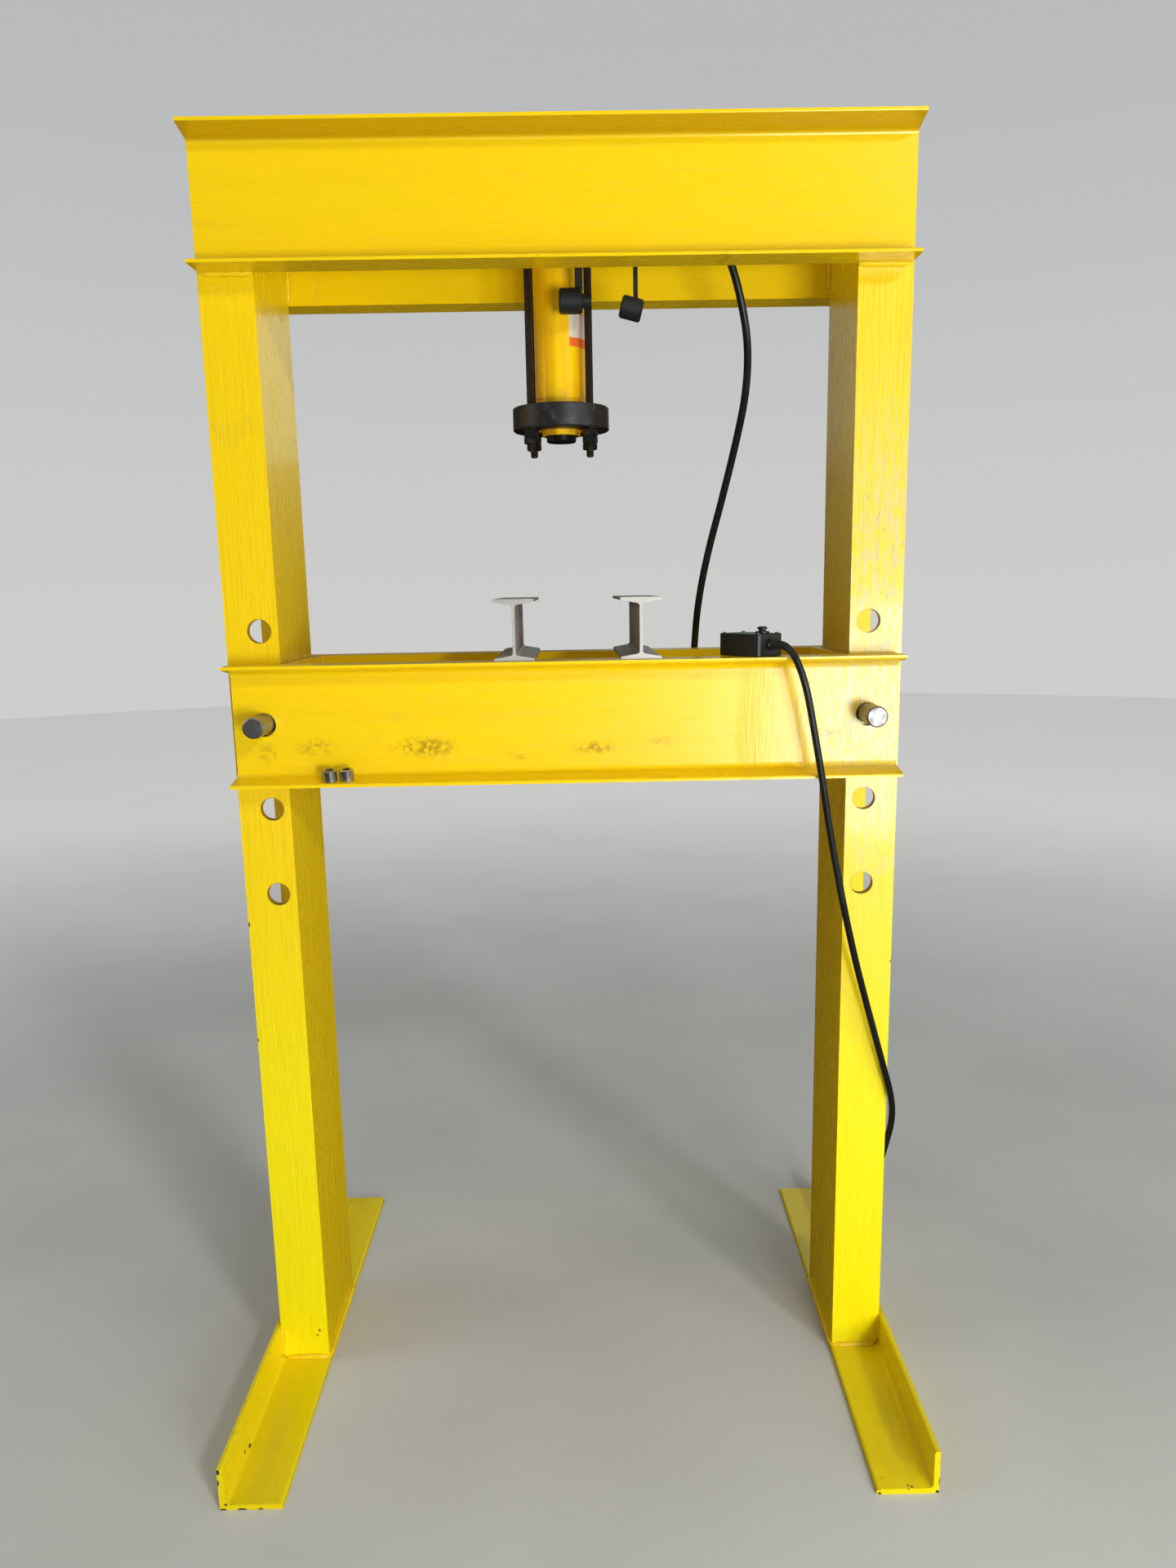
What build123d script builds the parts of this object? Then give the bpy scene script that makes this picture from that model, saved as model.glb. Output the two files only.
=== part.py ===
from build123d import *
import math
import os

# Shop press: an H-frame of rolled channels, a bed on two pins, and a hydraulic
# cylinder hung in the crown. Millimetres, X to the right, Y to the rear, Z up.
# The origin is the centre of the floor between the feet.

# Rolled sections: the inside of every flange slopes, and mean values are at mid flange
rolled_slope = 1 / 6
rolled_root_radius = 9.0
rolled_toe_radius = 3.0
cut_spare = 2.0

post_depth = 228.6
post_flange = 88.9
post_web = 11.4
post_mean_flange = 14.0

beam_depth = 203.2
beam_flange = 64.2
beam_web = 12.4
beam_mean_flange = 9.9

block_depth = 101.6
block_flange = 67.6
block_web = 4.9
block_mean_flange = 7.4
block_root_radius = 5.4
block_toe_radius = 1.8

foot_flat_leg = 101.6
foot_upright_leg = 76.2
foot_thickness = 9.5
foot_root_radius = 8.0
foot_toe_radius = 5.0
foot_length = 965.2

# Frame
clear_width = 965.2
crown_top = 2149.5
crown_end_inset = 3.2
post_top_drop = 6.0
post_cope_room = 1.0

# Bed and its pins
bolster_end_inset = 6.35
bolster_play = 0.8
spacer_thickness = 12.7
spacer_height = 152.4
spacer_inset = 6.3
hole_diameter = 39.7
hole_from_web = 31.75
lowest_row = 926.5
row_pitch = 152.4
row_count = 4
bed_row = 2
pin_diameter = 34.9
pin_length = 393.7
pin_chamfer = 2.0
pin_seat = 0.3

# Things that lie on the bed
block_length = 342.9
block_front = -168.0
block_places = {"left": -83.0, "right": 127.0}
block_turn = 0.8
bushing_diameter = 24.5
bushing_bore = 12.7
bushing_height = 19.0
bushing_chamfer = 1.2
bushing_end_gaps = [(164.55, 160.5), (192.35, 157.0)]

# Cylinder
bearing_plate_rise = 113.7
bearing_plate_thickness = 38.1
bearing_plate_width = 203.2
cylinder_length = 347.5
cylinder_diameter = 85.7
cylinder_edge = 2.5
collar_diameter = 84.1
collar_length = 49.0
bore_diameter = 65.0
base_thickness = 20.0
port_diameter = 17.1
port_drop = 25.4
port_depth = 15.0
turning_play = 0.15

ring_diameter = 165.1
ring_thickness = 38.1
ring_overhang = 1.5
ring_chamfer = 2.0

stop_diameter = 71.8
stop_length = 28.0
stop_spigot_diameter = 66.0
stop_spigot_length = 9.4
plunger_play = 0.6
wiper_width = 5.0
wiper_depth = 2.4
wiper_from_end = 3.0
wiper_gap = 0.3

plunger_diameter = 57.2
plunger_hollow = 36.0
plunger_floor = 20.0
plunger_flush = 0.4
plunger_edge = 1.5
piston_diameter = 64.4
piston_height = 24.0
piston_rest_gap = 14.0
seal_depth = 5.0
seal_width = 8.0
seal_from_top = 5.0
seal_edge = 1.0
band_depth = 2.0
band_width = 6.0
band_from_bottom = 2.5
saddle_diameter = 50.8
saddle_height = 10.7
saddle_edge = 2.0
saddle_spigot_diameter = 20.0
saddle_spigot_length = 12.0
saddle_recess = 1.5
saddle_recess_diameter = 30.5
spring_diameter = 30.0
spring_wire = 8.0
spring_coils = 36

# Tie rods
rod_diameter = 12.7
rod_offset = 49.4
rod_hole_play = 0.8
rod_upper_end = 10.0
rod_lower_end = 12.5
rod_edge = 2.0
washer_diameter = 28.0
washer_thickness = 2.5
washer_edge = 0.4
nut_across_flats = 22.2
nut_height = 12.3
lock_nut_height = 10.5

# Port elbow, quick coupler and hose fittings
coupler_y = -78.0
elbow_diameter = 22.0
elbow_shoulder_gap = 3.0
elbow_reach = 26.0
elbow_edge = 0.6
elbow_thread_end = 6.0
oil_passage = 8.0
ram_half_neck = 20.0
ram_half_neck_length = 18.0
ram_half_shoulder = 30.0
ram_half_shoulder_length = 10.0
ram_half_nose = 28.0
ram_half_nose_length = 18.0
ram_half_edge = 1.5
sleeve_diameter = 36.0
sleeve_length = 66.0
sleeve_gap = 0.3
sleeve_edge = 1.0
grip_inset = 12.0
grip_depth = 1.2
hose_half_neck = 21.0
hose_half_neck_length = 14.0
fitting_across_flats = 24.0
fitting_nut_length = 14.0
crimp_diameter = 21.5
crimp_length = 33.0
crimp_rings = 4
crimp_depth = 0.8
hose_diameter = 13.0

# Dust caps
ram_strap_width = 13.0
hose_strap_width = 7.5
cap_ring_wall = 3.0
cap_strap_thickness = 3.0
ram_cap_diameter = 40.0
ram_cap_length = 38.0
ram_cap_neck = 23.0
ram_cap_neck_length = 14.5
ram_cap_drop = 130.0
ram_cap_back = 32.5
hose_cap_diameter = 36.0
hose_cap_length = 36.0
hose_cap_drop = 143.0
hose_cap_back = 7.0
hose_cap_tilt = 15.0
hose_cap_rim = 4.0
cap_strap_root = 4.0
cap_wall = 3.5
cap_floor = 7.0
cap_edge = 3.0

# Pendant control
pendant_corner = (318.5, -172.0)
pendant_turn = 36.0
pendant_width = 59.0
pendant_length = 96.0
pendant_height = 38.0
pendant_wall = 3.0
pendant_corner_radius = 8.0
case_edge_radius = 2.0
cover_edge_radius = 1.5
cover_thickness = 3.5
screw_inset = 7.5
screw_boss = 8.0
screw_diameter = 3.0
screw_head = 6.0
screw_head_height = 1.8
screw_head_edge = 0.7
screw_length = 10.0
screw_tip_gap = 1.0
button_place = (31.4, 21.9)
button_stem = 12.0
button_cap = 17.0
button_cap_height = 4.3
button_edge = 1.2
button_travel = 3.0
button_spare = 0.7
button_rest_gap = 0.3
button_flange = 15.0
button_flange_height = 2.5
bezel_diameter = 24.0
bezel_height = 3.5
bezel_edge = 1.2
bezel_spigot = 16.4
bezel_spigot_length = 7.0
button_play = 0.6
switch_size = 25.0
switch_height = 19.5
switch_edge = 1.5
button_spring_diameter = 10.0
button_spring_wire = 1.0
gland_across_flats = 19.0
gland_flat_length = 6.0
gland_tip_diameter = 15.0
gland_tip_taper = 3.0
gland_tip_edge = 1.2
gland_spigot = 11.0
gland_shoulder = 16.6
gland_bore = 2.0
gland_length = 14.0
gland_height = 20.0
gland_side = 30.0
cord_first_run = 14.5
cord_diameter = 12.0

# Coil of the pendant cord and its plug, in the hollow of the right post
coil_mid_diameter = 119.0
coil_turns = 4.25
coil_y = -24.0
coil_front_x = 554.0
coil_rest_gap = 0.3
plug_diameter = 30.0
plug_length = 42.0
plug_nose_diameter = 26.0
plug_nose_length = 8.0
plug_entry_wall = 3.0
plug_entry_length = 6.0
plug_shoulder = 3.0
plug_edge = 1.0
plug_socket_wall = 2.5
plug_socket_depth = 6.0
plug_x = 512.0
plug_y = 48.0

# Places that follow from the sizes above
web_x = clear_width / 2
toe_x = web_x + post_flange
hole_x = web_x + hole_from_web
crown_length = 2 * (toe_x - crown_end_inset)
bolster_length = 2 * (toe_x - bolster_end_inset)
post_face_y = post_depth / 2
post_top = crown_top - post_top_drop
crown_z = crown_top - beam_depth / 2
crown_bottom = crown_top - beam_depth
bed_hole_z = lowest_row + row_pitch * bed_row
pin_z = bed_hole_z - (hole_diameter - pin_diameter) / 2 + pin_seat
bolster_z = pin_z - (hole_diameter - pin_diameter) / 2 + pin_seat
bolster_top = bolster_z + beam_depth / 2
bolster_bottom = bolster_z - beam_depth / 2
bolster_back_y = post_face_y + bolster_play
spacer_x = web_x - spacer_inset - spacer_thickness / 2

cylinder_top = crown_bottom + bearing_plate_rise
plate_top = cylinder_top + bearing_plate_thickness
cylinder_mouth = cylinder_top - cylinder_length
bore_top = cylinder_top - base_thickness
port_z = cylinder_top - port_drop
ring_bottom = cylinder_mouth - ring_overhang
ring_top = ring_bottom + ring_thickness
stop_top = cylinder_mouth + stop_length
stop_bottom = cylinder_mouth - stop_spigot_length
plunger_end = stop_bottom + plunger_flush
piston_top = bore_top - piston_rest_gap
piston_bottom = piston_top - piston_height
plunger_floor_z = plunger_end + plunger_floor
ram_stroke = math.floor((piston_bottom - stop_top) / 10) * 10

ram_half_x = elbow_reach
shoulder_x = ram_half_x + ram_half_neck_length
nose_x = shoulder_x + ram_half_shoulder_length
hose_half_x = nose_x + sleeve_gap
hose_neck_x = hose_half_x + sleeve_length
fitting_x = hose_neck_x + hose_half_neck_length
hose_start_x = fitting_x + fitting_nut_length + crimp_length

case_height = pendant_height - cover_thickness
pendant_place = Location((*pendant_corner, bolster_top), (0, 0, pendant_turn))

foot_top = foot_thickness
coil_outer_radius = (coil_mid_diameter + cord_diameter) / 2
coil_inner_radius = (coil_mid_diameter - cord_diameter) / 2
coil_z = foot_top + coil_rest_gap + coil_outer_radius
coil_back_x = coil_front_x - coil_turns * cord_diameter
tail_z = coil_z - coil_mid_diameter / 2
plug_z = foot_top + coil_rest_gap + plug_diameter / 2


# Shared shapes
def face_of(outline):
    """Flat face inside a closed outline of (u, v) points."""
    return Face(Wire.make_polygon([(u, v, 0) for u, v in outline], close=True))


def round_corners(face, corners, radius):
    """The face with the corners at the given (u, v) points rounded."""
    wanted = []
    for vertex in face.vertices():
        if any(abs(vertex.X - u) + abs(vertex.Y - v) < 0.01 for u, v in corners):
            wanted.append(vertex)
    return face.fillet_2d(radius, wanted)


def channel_face(depth, flange, web, mean_flange):
    """Channel section with its web's back on v and its toes toward +u."""
    half = depth / 2
    spread = rolled_slope * (flange - web) / 2
    toe = half - (mean_flange - spread)
    root = half - (mean_flange + spread)
    face = face_of([(0, -half), (flange, -half), (flange, -toe), (web, -root),
                    (web, root), (flange, toe), (flange, half), (0, half)])
    face = round_corners(face, [(web, root), (web, -root)], rolled_root_radius)
    return round_corners(face, [(flange, toe), (flange, -toe)], rolled_toe_radius)


def beam_face(depth, flange, web, mean_flange):
    """I section about its centre, web along v."""
    half = depth / 2
    out = flange / 2
    inner = web / 2
    spread = rolled_slope * (out - inner) / 2
    toe = half - (mean_flange - spread)
    root = half - (mean_flange + spread)
    right = [(out, half), (out, toe), (inner, root), (inner, -root), (out, -toe), (out, -half)]
    left = [(-u, v) for u, v in reversed(right)]
    roots = [(s * inner, t * root) for s in (1, -1) for t in (1, -1)]
    toes = [(s * out, t * toe) for s in (1, -1) for t in (1, -1)]
    face = round_corners(face_of(right + left), roots, block_root_radius)
    return round_corners(face, toes, block_toe_radius)


def turned(outline):
    """Solid turned about Z from a closed outline of (radius, height) points."""
    wire = Wire.make_polygon([(radius, 0, height) for radius, height in outline], close=True)
    return revolve(Face(wire), Axis.Z)


def tube_piece(outer, inner, low, high, edge=0.0):
    """Round piece between two heights, with a bore and chamfered outer edges."""
    return turned([(inner / 2, low), (outer / 2 - edge, low), (outer / 2, low + edge),
                   (outer / 2, high - edge), (outer / 2 - edge, high), (inner / 2, high)])


def round_bar(diameter, low, high, edge):
    """Solid round piece between two heights with chamfered ends."""
    radius = diameter / 2
    return turned([(0, low), (radius - edge, low), (radius, low + edge),
                   (radius, high - edge), (radius - edge, high), (0, high)])


def hex_nut(across_flats, bore, low, height):
    """Hexagon nut standing on a height, with both faces chamfered."""
    flat = across_flats / 2
    corner = flat / math.cos(math.pi / 6)
    lead = (corner - flat) * math.tan(math.pi / 6)
    high = low + height
    blank = extrude(Pos(0, 0, low) * RegularPolygon(flat, 6, major_radius=False), height)
    trim = turned([(bore / 2, low), (flat, low), (corner, low + lead),
                   (corner, high - lead), (flat, high), (bore / 2, high)])
    return blank & trim


def along_x(solid):
    """The same solid with its turning axis laid along +X."""
    return Rot(0, 90, 0) * solid


def across(x, z, diameter, length):
    """Round cutter along Y through a point of the XZ plane."""
    return Pos(x, 0, z) * Rot(90, 0, 0) * Cylinder(diameter / 2, length)


def mirrored(solid, plane):
    """The mirror image of a solid, the original left alone."""
    return mirror(solid, about=plane)


# Frame
def foot_right():
    """Floor angle: flat leg inward on the floor, upright leg outside the post."""
    out = toe_x + foot_thickness
    inner = out - foot_flat_leg
    outline = [(inner, 0), (out, 0), (out, foot_upright_leg), (toe_x, foot_upright_leg),
               (toe_x, foot_thickness), (inner, foot_thickness)]
    face = face_of(outline)
    face = round_corners(face, [(toe_x, foot_thickness)], foot_root_radius)
    face = round_corners(face, [(toe_x, foot_upright_leg), (inner, foot_thickness)], foot_toe_radius)
    section = Plane(origin=(0, 0, 0), x_dir=(1, 0, 0), z_dir=(0, -1, 0)).location * face
    return extrude(section, foot_length / 2, dir=(0, 1, 0), both=True)


def post_right():
    """Upright channel with its web to the middle and a row of holes in both flanges."""
    section = Pos(web_x, 0, foot_top) * channel_face(post_depth, post_flange, post_web, post_mean_flange)
    post = extrude(section, post_top - foot_top, dir=(0, 0, 1))
    for row in range(row_count):
        post -= across(hole_x, lowest_row + row * row_pitch, hole_diameter, post_depth + cut_spare)
    cope = foot_root_radius + post_cope_room
    corner = Plane(origin=(toe_x, 0, foot_top), x_dir=(1, 0, 0), z_dir=(0, -1, 0)).location
    wedge = corner * face_of([(0, 0), (0, cope), (-cope, 0)])
    return post - extrude(wedge, post_depth, dir=(0, 1, 0), both=True)


def cross_channel(back_y, centre_z, length):
    """Front channel of the crown or bed: web against the posts, toes to the front."""
    place = Plane(origin=(0, -back_y, centre_z), x_dir=(0, -1, 0), z_dir=(-1, 0, 0)).location
    section = place * channel_face(beam_depth, beam_flange, beam_web, beam_mean_flange)
    return extrude(section, length / 2, dir=(1, 0, 0), both=True)


def bolster_front():
    """Front channel of the bed, with a pin hole near each end."""
    channel = cross_channel(bolster_back_y, bolster_z, bolster_length)
    reach = 2 * (bolster_back_y + beam_web) + cut_spare
    for x in (-hole_x, hole_x):
        channel -= across(x, bolster_z, hole_diameter, reach)
    return channel


def bolster_spacer_right():
    """Flat bar on edge between the two bed channels, just inside the post."""
    low = bolster_top - spacer_height
    centre = (low + bolster_top) / 2
    return Pos(spacer_x, 0, centre) * Box(spacer_thickness, 2 * bolster_back_y, spacer_height)


def bed_pin(x):
    """Loose steel pin through the bed's webs and the post's flanges."""
    pin = round_bar(pin_diameter, -pin_length / 2, pin_length / 2, pin_chamfer)
    return Pos(x, 0, pin_z) * Rot(90, 0, 0) * pin


def press_block(x):
    """Short piece of I beam standing across the bed, turned a little on it."""
    front = Plane(origin=(0, 0, 0), x_dir=(1, 0, 0), z_dir=(0, -1, 0)).location
    section = front * beam_face(block_depth, block_flange, block_web, block_mean_flange)
    block = extrude(section, block_length, dir=(0, 1, 0))
    return Pos(x, block_front, bolster_top + block_depth / 2) * Rot(0, 0, block_turn) * block


def steel_bushings():
    """Two small turned bushings on the sloping inside of the bed's lower front flange."""
    toe_y = bolster_back_y + beam_flange
    toe_thickness = beam_mean_flange - rolled_slope * (beam_flange - beam_web) / 2
    lean = math.degrees(math.atan(rolled_slope))
    pieces = []
    for end_gap, forward in bushing_end_gaps:
        x = end_gap - bolster_length / 2
        y = -forward
        surface = bolster_bottom + toe_thickness + rolled_slope * (toe_y + y)
        piece = tube_piece(bushing_diameter, bushing_bore, 0, bushing_height, bushing_chamfer)
        pieces.append(Pos(x, y, surface) * Rot(lean, 0, 0) * piece)
    return Compound(children=pieces)


# Cylinder
def bearing_plate():
    """Thick plate welded between the crown's webs, drilled for the tie rods."""
    centre = cylinder_top + bearing_plate_thickness / 2
    plate = Pos(0, 0, centre) * Box(bearing_plate_width, post_depth, bearing_plate_thickness)
    return plate - rod_drillings(centre, bearing_plate_thickness)


def cylinder_body():
    """Barrel with a closed base, a turned collar, a bore, a stop ring seat and a port."""
    radius = cylinder_diameter / 2
    collar = collar_diameter / 2
    bore = bore_diameter / 2
    seat = stop_diameter / 2 + turning_play
    collar_top = cylinder_mouth + collar_length
    barrel = turned([(0, bore_top), (bore, bore_top), (bore, stop_top + turning_play),
                     (seat, stop_top + turning_play), (seat, cylinder_mouth), (collar, cylinder_mouth),
                     (collar, collar_top), (radius, collar_top + (radius - collar)),
                     (radius, cylinder_top - cylinder_edge), (radius - cylinder_edge, cylinder_top),
                     (0, cylinder_top)])
    port = Rot(90, 0, 0) * Cylinder(port_diameter / 2, port_depth)
    return barrel - Pos(0, port_depth / 2 - radius, port_z) * port


def ring_plate():
    """Thick ring screwed on the collar and hung on the four tie rods."""
    ring = tube_piece(ring_diameter, collar_diameter + 2 * turning_play, ring_bottom, ring_top, ring_chamfer)
    return ring - rod_drillings((ring_bottom + ring_top) / 2, ring_thickness)


def stop_ring():
    """Gland ring in the cylinder's mouth, with a groove for the rod wiper."""
    bore = (plunger_diameter + plunger_play) / 2 + wiper_gap
    groove = bore + wiper_depth
    outer = stop_diameter / 2
    spigot = stop_spigot_diameter / 2
    wiper_low = stop_bottom + wiper_from_end
    wiper_high = wiper_low + wiper_width
    return turned([(bore, stop_bottom), (spigot, stop_bottom), (spigot, cylinder_mouth),
                   (outer, cylinder_mouth), (outer, stop_top), (bore, stop_top), (bore, wiper_high),
                   (groove, wiper_high), (groove, wiper_low), (bore, wiper_low)])


def rod_wiper():
    """Soft ring in the stop ring's groove, close round the plunger."""
    inner = plunger_diameter + plunger_play
    outer = inner + 2 * (wiper_gap + wiper_depth - turning_play)
    low = stop_bottom + wiper_from_end + turning_play
    return tube_piece(outer, inner, low, low + wiper_width - 2 * turning_play)


def plunger():
    """Hollow ram with its piston head, two ring grooves and a socket for the saddle."""
    rod = plunger_diameter / 2
    head = piston_diameter / 2
    hollow = plunger_hollow / 2
    socket = saddle_spigot_diameter / 2 + turning_play
    socket_top = plunger_end + saddle_spigot_length + turning_play
    seal_high = piston_top - seal_from_top
    seal_low = seal_high - seal_width
    band_low = piston_bottom + band_from_bottom
    band_high = band_low + band_width
    band_floor = head - band_depth
    seal_floor = head - seal_depth
    end_edge = plunger_end + plunger_edge
    return turned([(socket, plunger_end), (rod - plunger_edge, plunger_end), (rod, end_edge),
                   (rod, piston_bottom), (head, piston_bottom), (head, band_low), (band_floor, band_low),
                   (band_floor, band_high), (head, band_high), (head, seal_low), (seal_floor, seal_low),
                   (seal_floor, seal_high), (head, seal_high), (head, piston_top), (hollow, piston_top),
                   (hollow, plunger_floor_z), (0, plunger_floor_z), (0, socket_top), (socket, socket_top)])


def piston_seal():
    """Moulded seal in the upper groove of the piston."""
    inner = piston_diameter - 2 * seal_depth + 2 * turning_play
    high = piston_top - seal_from_top - turning_play
    low = high - seal_width + 2 * turning_play
    return tube_piece(piston_diameter, inner, low, high, seal_edge)


def bearing_band():
    """Bronze guide band in the lower groove of the piston."""
    inner = piston_diameter - 2 * band_depth + 2 * turning_play
    low = piston_bottom + band_from_bottom + turning_play
    return tube_piece(piston_diameter, inner, low, low + band_width - 2 * turning_play)


def saddle():
    """Hardened button under the plunger, with a spigot up into its socket."""
    radius = saddle_diameter / 2
    low = plunger_end - saddle_height
    spigot = saddle_spigot_diameter / 2
    dish = saddle_recess_diameter / 2
    return turned([(0, low + saddle_recess), (dish, low), (radius - saddle_edge, low),
                   (radius, low + saddle_edge), (radius, plunger_end), (spigot, plunger_end),
                   (spigot, plunger_end + saddle_spigot_length), (0, plunger_end + saddle_spigot_length)])


def return_spring():
    """Close-wound extension spring from the cylinder's base to the plunger's floor."""
    outer = spring_diameter / 2
    groove = outer - spring_wire / 4
    inner = outer - spring_wire
    pitch = (bore_top - plunger_floor_z) / spring_coils
    outline = [(inner, plunger_floor_z)]
    for coil in range(spring_coils):
        low = plunger_floor_z + coil * pitch
        outline.append((groove, low))
        outline.append((outer, low + pitch / 2))
    outline.append((groove, bore_top))
    outline.append((inner, bore_top))
    return turned(outline)


# Tie rods
def rod_places():
    """Centres of the four tie rods."""
    return [(x, y) for x in (-rod_offset, rod_offset) for y in (-rod_offset, rod_offset)]


def rod_drillings(centre, thickness):
    """Cutters for the tie rods through a plate."""
    drilling = Cylinder((rod_diameter + rod_hole_play) / 2, thickness + cut_spare)
    return [Pos(x, y, centre) * drilling for x, y in rod_places()]


def four_times(piece):
    """A copy of one piece on each tie rod."""
    return Compound(children=[Pos(x, y, 0) * piece for x, y in rod_places()])


def rod_fastener(across_flats, low, height):
    """Nut that runs on a tie rod."""
    return hex_nut(across_flats, rod_diameter + 2 * turning_play, low, height)


def rod_washer(low):
    """Flat washer on a tie rod."""
    return tube_piece(washer_diameter, rod_diameter + rod_hole_play, low, low + washer_thickness, washer_edge)


def tie_rod_pieces():
    """The rods with their nuts and washers, by node name."""
    upper_nut = plate_top + washer_thickness
    lower_nut = ring_bottom - washer_thickness - nut_height
    lock_nut = lower_nut - lock_nut_height
    rod_top = upper_nut + nut_height + rod_upper_end
    rod_bottom = lock_nut - rod_lower_end
    return {
        "tie_rods": four_times(round_bar(rod_diameter, rod_bottom, rod_top, rod_edge)),
        "tie_rod_upper_washers": four_times(rod_washer(plate_top)),
        "tie_rod_upper_nuts": four_times(rod_fastener(nut_across_flats, upper_nut, nut_height)),
        "tie_rod_lower_washers": four_times(rod_washer(ring_bottom - washer_thickness)),
        "tie_rod_lower_nuts": four_times(rod_fastener(nut_across_flats, lower_nut, nut_height)),
        "tie_rod_lock_nuts": four_times(rod_fastener(nut_across_flats, lock_nut, lock_nut_height)),
    }


# Oil line
def port_elbow():
    """Elbow out of the cylinder's port, turning along the crown."""
    radius = elbow_diameter / 2
    nipple = port_diameter / 2 - turning_play
    wall = cylinder_diameter / 2
    tip = wall - port_depth + elbow_thread_end
    shoulder = wall + elbow_shoulder_gap
    inlet = turned([(0, tip), (nipple, tip), (nipple, shoulder), (radius, shoulder),
                    (radius, -coupler_y), (0, -coupler_y)])
    outlet = round_bar(elbow_diameter, 0, elbow_reach, elbow_edge)
    bend = Pos(0, coupler_y, 0)
    body = Rot(90, 0, 0) * inlet + bend * along_x(outlet) + bend * Sphere(radius)
    inlet_length = -coupler_y - tip
    drilling_in = Rot(90, 0, 0) * Cylinder(oil_passage / 2, inlet_length)
    drilling_out = along_x(Cylinder(oil_passage / 2, elbow_reach))
    body -= Pos(0, coupler_y + inlet_length / 2, 0) * drilling_in
    body -= Pos(elbow_reach / 2, coupler_y, 0) * drilling_out
    return Pos(0, 0, port_z) * body


def ram_half_profile():
    """Turned outline of the coupler half on the cylinder, from its threaded neck to its nose."""
    passage = oil_passage / 2
    neck = ram_half_neck / 2
    shoulder = ram_half_shoulder / 2
    nose = ram_half_nose / 2
    nose_end = nose_x + ram_half_nose_length
    edge = ram_half_edge
    return [(passage, ram_half_x), (neck, ram_half_x), (neck, shoulder_x), (shoulder - edge, shoulder_x),
            (shoulder, shoulder_x + edge), (shoulder, nose_x), (nose, nose_x), (nose, nose_end - edge),
            (nose - edge, nose_end), (passage, nose_end)]


def coupler_ram_half():
    """Coupler half that stays on the cylinder."""
    return Pos(0, coupler_y, port_z) * along_x(turned(ram_half_profile()))


def hose_half_profile():
    """Turned outline of the coupler half on the hose: gripped sleeve and neck."""
    passage = oil_passage / 2
    outer = sleeve_diameter / 2
    socket = ram_half_nose / 2 + turning_play
    socket_end = nose_x + ram_half_nose_length + sleeve_gap
    neck = hose_half_neck / 2
    edge = sleeve_edge
    waist = outer - grip_depth
    grip_low = hose_half_x + grip_inset
    grip_high = hose_neck_x - grip_inset
    return [(socket, hose_half_x), (outer - edge, hose_half_x), (outer, hose_half_x + edge),
            (outer, grip_low), (waist, grip_low + grip_depth), (waist, grip_high - grip_depth),
            (outer, grip_high), (outer, hose_neck_x - edge), (outer - edge, hose_neck_x), (neck, hose_neck_x),
            (neck, fitting_x), (passage, fitting_x), (passage, socket_end), (socket, socket_end)]


def coupler_hose_half():
    """Coupler half on the hose, its sleeve over the other half's nose."""
    return Pos(0, coupler_y, port_z) * along_x(turned(hose_half_profile()))


def hose_fitting(start):
    """Crimped hose end: hexagon and ribbed shell, laid along X from its hexagon."""
    shell = crimp_diameter / 2
    shell_x = start + fitting_nut_length
    rib = crimp_length / (2 * crimp_rings)
    floor = shell - crimp_depth
    outline = [(oil_passage / 2, shell_x), (shell, shell_x)]
    for ring in range(crimp_rings):
        near = shell_x + (2 * ring + 1) * rib
        far = near + rib
        outline += [(shell, near), (floor, near + crimp_depth), (floor, far - crimp_depth), (shell, far)]
    outline.append((oil_passage / 2, shell_x + crimp_length))
    nut = hex_nut(fitting_across_flats, oil_passage, start, fitting_nut_length)
    return along_x(nut + turned(outline))


# Dust caps
def strap_cap(neck_diameter, width, ring_x, drop, cap):
    """Rubber dust cap: a ring on the coupler's neck, a strap down from it and the cap."""
    inner = neck_diameter / 2 + turning_play
    outer = inner + cap_ring_wall
    ring = along_x(tube_piece(2 * outer, 2 * inner, ring_x - width / 2, ring_x + width / 2))
    strap_top = inner + cap_ring_wall / 2
    centre = -(strap_top + drop) / 2
    strap = Pos(ring_x, 0, centre) * Box(width, cap_strap_thickness, drop - strap_top)
    return Pos(0, coupler_y, port_z) * (ring + strap) + cap


def cup(diameter, length, neck, neck_length):
    """Closed cap with an open neck, its mouth toward +Z."""
    radius = diameter / 2
    bore = neck / 2 - cap_wall
    end = length + neck_length
    outline = [(0, 0), (radius - cap_edge, 0), (radius, cap_edge), (radius, length - cap_edge),
               (radius - cap_edge, length)]
    if neck_length:
        outline.append((neck / 2, length))
        outline.append((neck / 2, end))
    return turned(outline + [(bore, end), (bore, cap_floor), (0, cap_floor)])


def dust_cap_ram_half():
    """Cap for the cylinder's coupler half, hanging on its strap with the mouth to the right."""
    ring_x = ram_half_x + ram_half_neck_length / 2
    body = along_x(cup(ram_cap_diameter, ram_cap_length, ram_cap_neck, ram_cap_neck_length))
    cap = Pos(ring_x - ram_cap_back, coupler_y, port_z - ram_cap_drop) * body
    strap_drop = ram_cap_drop - ram_cap_diameter / 2 + cap_strap_root
    return strap_cap(ram_half_neck, ram_strap_width, ring_x, strap_drop, cap)


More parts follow.
